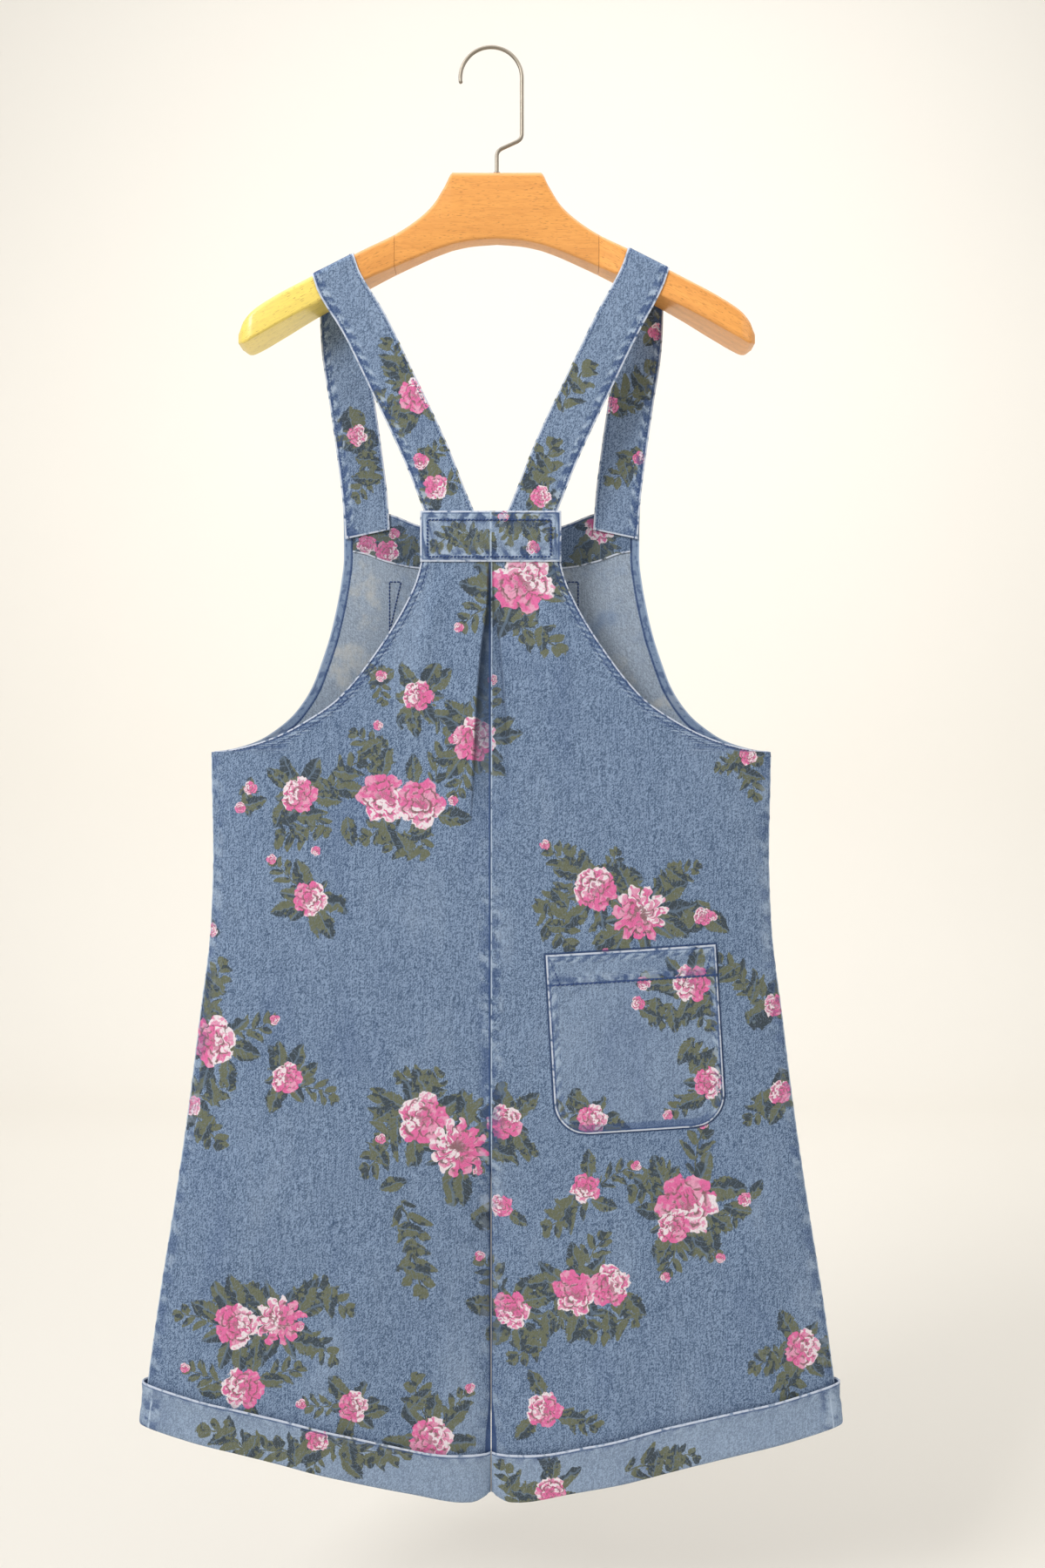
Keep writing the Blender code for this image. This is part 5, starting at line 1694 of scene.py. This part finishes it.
class SHORTALLS_OT_stitching(bpy.types.Operator):
    """Sew the hems, seams, pockets, tab and straps"""

    bl_idname = "shortalls.stitching"
    bl_label = "Stitching"

    def execute(self, context):
        pitch = context.scene.shortalls_cloth.stitch_pitch
        lines = []
        for hand, _ in HANDS:
            for side, armhole in ((-1, BACK_ARMHOLE), (1, FRONT_ARMHOLE)):
                for inset in ARMHOLE_LINES:
                    path = on_armhole(side, hand, armhole, inset, WALL / 2 + 0.0004)
                    lines.append(stitch_line(*path, pitch, radius=0.00028))
                lines.append(stitch_line(*on_armhole(side, hand, armhole, 0.0072, -WALL / 2 - 0.0002), pitch))
        sew("armhole_stitches", lines)
        lift = 1.5 * WALL + SEAM + 0.0001
        lines = []
        for side, shape in ((-1, BACK_POCKET), (1, BIB_POCKET)):
            lines.append(stitch_line(*on_pocket(shape, side, EDGE_LINE, lift), pitch, radius=0.0003))
            end = shape.width / 2 - 0.003
            rows = [(np.linspace(-end, end, 40), np.full(40, POCKET_HEM), pitch * 1.3, 0.0007, 0.3)]
            for hand, _ in HANDS:
                slope = hand * np.linspace(end, end - 0.008, 12), np.linspace(0.003, POCKET_HEM, 12)
                rows.append((*slope, pitch, 0.0005, 0.0))
            for p, q, step, radius, slant in rows:
                path = stand(side, *pocket_place(shape, p, q), lift + 0.0004)
                lines.append(stitch_line(*path, step, radius=radius, slant=slant))
        sew("pocket_stitches", lines)
        paths = straight(-1, TAB_BOX, lambda z: tab_lift(z) + STRAP_WALL / 2 + 0.0006)
        sew("tab_stitches", [stitch_line(*path, pitch, 0.9, 0.0008, 0.3) for path in paths])
        paths = [path for corners in BIB_TACKS for path in straight(1, corners, lambda z: -WALL / 2 - 0.0002)]
        sew("bib_stitches", [stitch_line(place, -n, pitch, 0.9, 0.0006) for place, n in paths])
        lines = []
        for hand, _ in HANDS:
            grid, n, _ = strap_grid(hand)
            for column in (3, -4):
                for out in (n[:, column], -n[:, column]):
                    place = grid[:, column] + out * (STRAP_WALL / 2 - 0.0001)
                    lines.append(stitch_line(place, out, pitch, radius=0.00040))
        sew("strap_stitches", lines)
        return {"FINISHED"}


class SHORTALLS_OT_studio(bpy.types.Operator):
    """Set the floor, backdrop, lights and camera"""

    bl_idname = "shortalls.studio"
    bl_label = "Studio"

    def execute(self, context):
        settings = context.scene.shortalls_stage
        turn = np.linspace(0, math.pi / 2, 24)[1:]
        y = np.concatenate([[NEAR_END, SWEEP_START], SWEEP_START + SWEEP_BEND * np.sin(turn)])
        y = np.append(y, SWEEP_START + SWEEP_BEND)
        z = np.concatenate([[0, 0], SWEEP_BEND - SWEEP_BEND * np.cos(turn), [WALL_TOP]]) + FLOOR
        ends = (-SWEEP_HALF_WIDTH, SWEEP_HALF_WIDTH)
        profile = [np.stack([np.full_like(y, x), y, z], axis=-1) for x in ends]
        mesh = bpy.data.meshes.new("sweep")
        mesh.from_pydata(np.concatenate(profile).tolist(), [], quads(2, len(y)).tolist())
        mesh.shade_smooth()
        net = Net("paper")
        place = net.place()
        _, y, z = net.parts(place)
        tone = net.mixes(
            settings.paper,
            (net.noise(place, 3.0, 2.0), darker(settings.paper, 0.985)),
            # Painted shade: darker over the floor in front of the sweep's curve, and towards the sweep's top
            # to tone down the wall lamp there.
            (net.ramp(y, 2.4, 0.8), darker(settings.paper, 0.88)),
            (net.ramp(z, 0.2, 1.4) * 0.6, darker(settings.paper, 0.90)),
        )
        mesh.materials.append(net.finish(Base_Color=tone, Roughness=0.9))
        self.place("sweep", mesh)
        self.lamp("key", (-2.1, -2.6, 1.3), (0.0, 0.0, -0.75), 1.2, settings.key)
        self.lamp("fill", (2.6, -2.2, 0.2), (0.0, 0.0, -0.7), 2.6, settings.fill)
        self.lamp("wall", (0.2, 0.9, 1.2), (0.0, 3.2, -1.1), 3.0, settings.fill * 2.3)
        world = bpy.data.worlds.new("air")
        world.use_nodes = True
        colour_of, strength = world.node_tree.nodes["Background"].inputs[:2]
        colour_of.default_value = (1.0, 0.985, 0.96, 1.0)
        strength.default_value = settings.air
        context.scene.world = world
        camera = self.place("camera", bpy.data.cameras.new("camera"))
        camera.data.lens = settings.lens
        camera.data.sensor_width = 36.0
        camera.location = (CAMERA_X, -settings.distance, CAMERA_Z)
        camera.rotation_euler = (math.pi / 2, 0, 0)
        context.scene.camera = camera
        context.scene.view_settings.view_transform = "Standard"
        return {"FINISHED"}

    def place(self, name, data):
        made = bpy.data.objects.new(name, data)
        bpy.context.scene.collection.objects.link(made)
        return made

    def lamp(self, name, place, aim, size, power):
        """A square soft light that faces its aim."""
        lamp = self.place(name, bpy.data.lights.new(name, "AREA"))
        lamp.data.size = size
        lamp.data.energy = power
        lamp.location = place
        lamp.rotation_euler = (Vector(aim) - Vector(place)).to_track_quat("-Z", "Y").to_euler()


PIECES = (
    SHORTALLS_OT_panels, SHORTALLS_OT_pockets, SHORTALLS_OT_tab, SHORTALLS_OT_cuffs, SHORTALLS_OT_straps,
    SHORTALLS_OT_hanger, SHORTALLS_OT_stitching, SHORTALLS_OT_studio,
)


class SHORTALLS_PT_panel(bpy.types.Panel):
    """The makers and their settings"""

    bl_idname = "SHORTALLS_PT_panel"
    bl_label = "Shortalls"
    bl_space_type = "VIEW_3D"
    bl_region_type = "UI"
    bl_category = "Shortalls"

    def draw(self, context):
        for name in ("shortalls_cloth", "shortalls_hanger", "shortalls_stage"):
            group = getattr(context.scene, name)
            box = self.layout.box()
            for key in group.bl_rna.properties.keys():
                if key not in ("rna_type", "name"):
                    box.prop(group, key)
        for operator in PIECES:
            self.layout.operator(operator.bl_idname)


GROUPS = (
    ("shortalls_cloth", ClothSettings),
    ("shortalls_hanger", HangerSettings),
    ("shortalls_stage", StageSettings),
)


def register():
    for name, group in GROUPS:
        bpy.utils.register_class(group)
        setattr(bpy.types.Scene, name, PointerProperty(type=group))
    for made in (*PIECES, SHORTALLS_PT_panel):
        bpy.utils.register_class(made)


def unregister():
    for made in (SHORTALLS_PT_panel, *reversed(PIECES)):
        bpy.utils.unregister_class(made)
    for name, group in reversed(GROUPS):
        delattr(bpy.types.Scene, name)
        bpy.utils.unregister_class(group)


def main():
    """Registers the makers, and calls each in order."""
    register()
    for maker in ("panels", "pockets", "tab", "cuffs", "straps", "hanger", "stitching", "studio"):
        getattr(bpy.ops.shortalls, maker)()


if __name__ == "__main__":
    main()
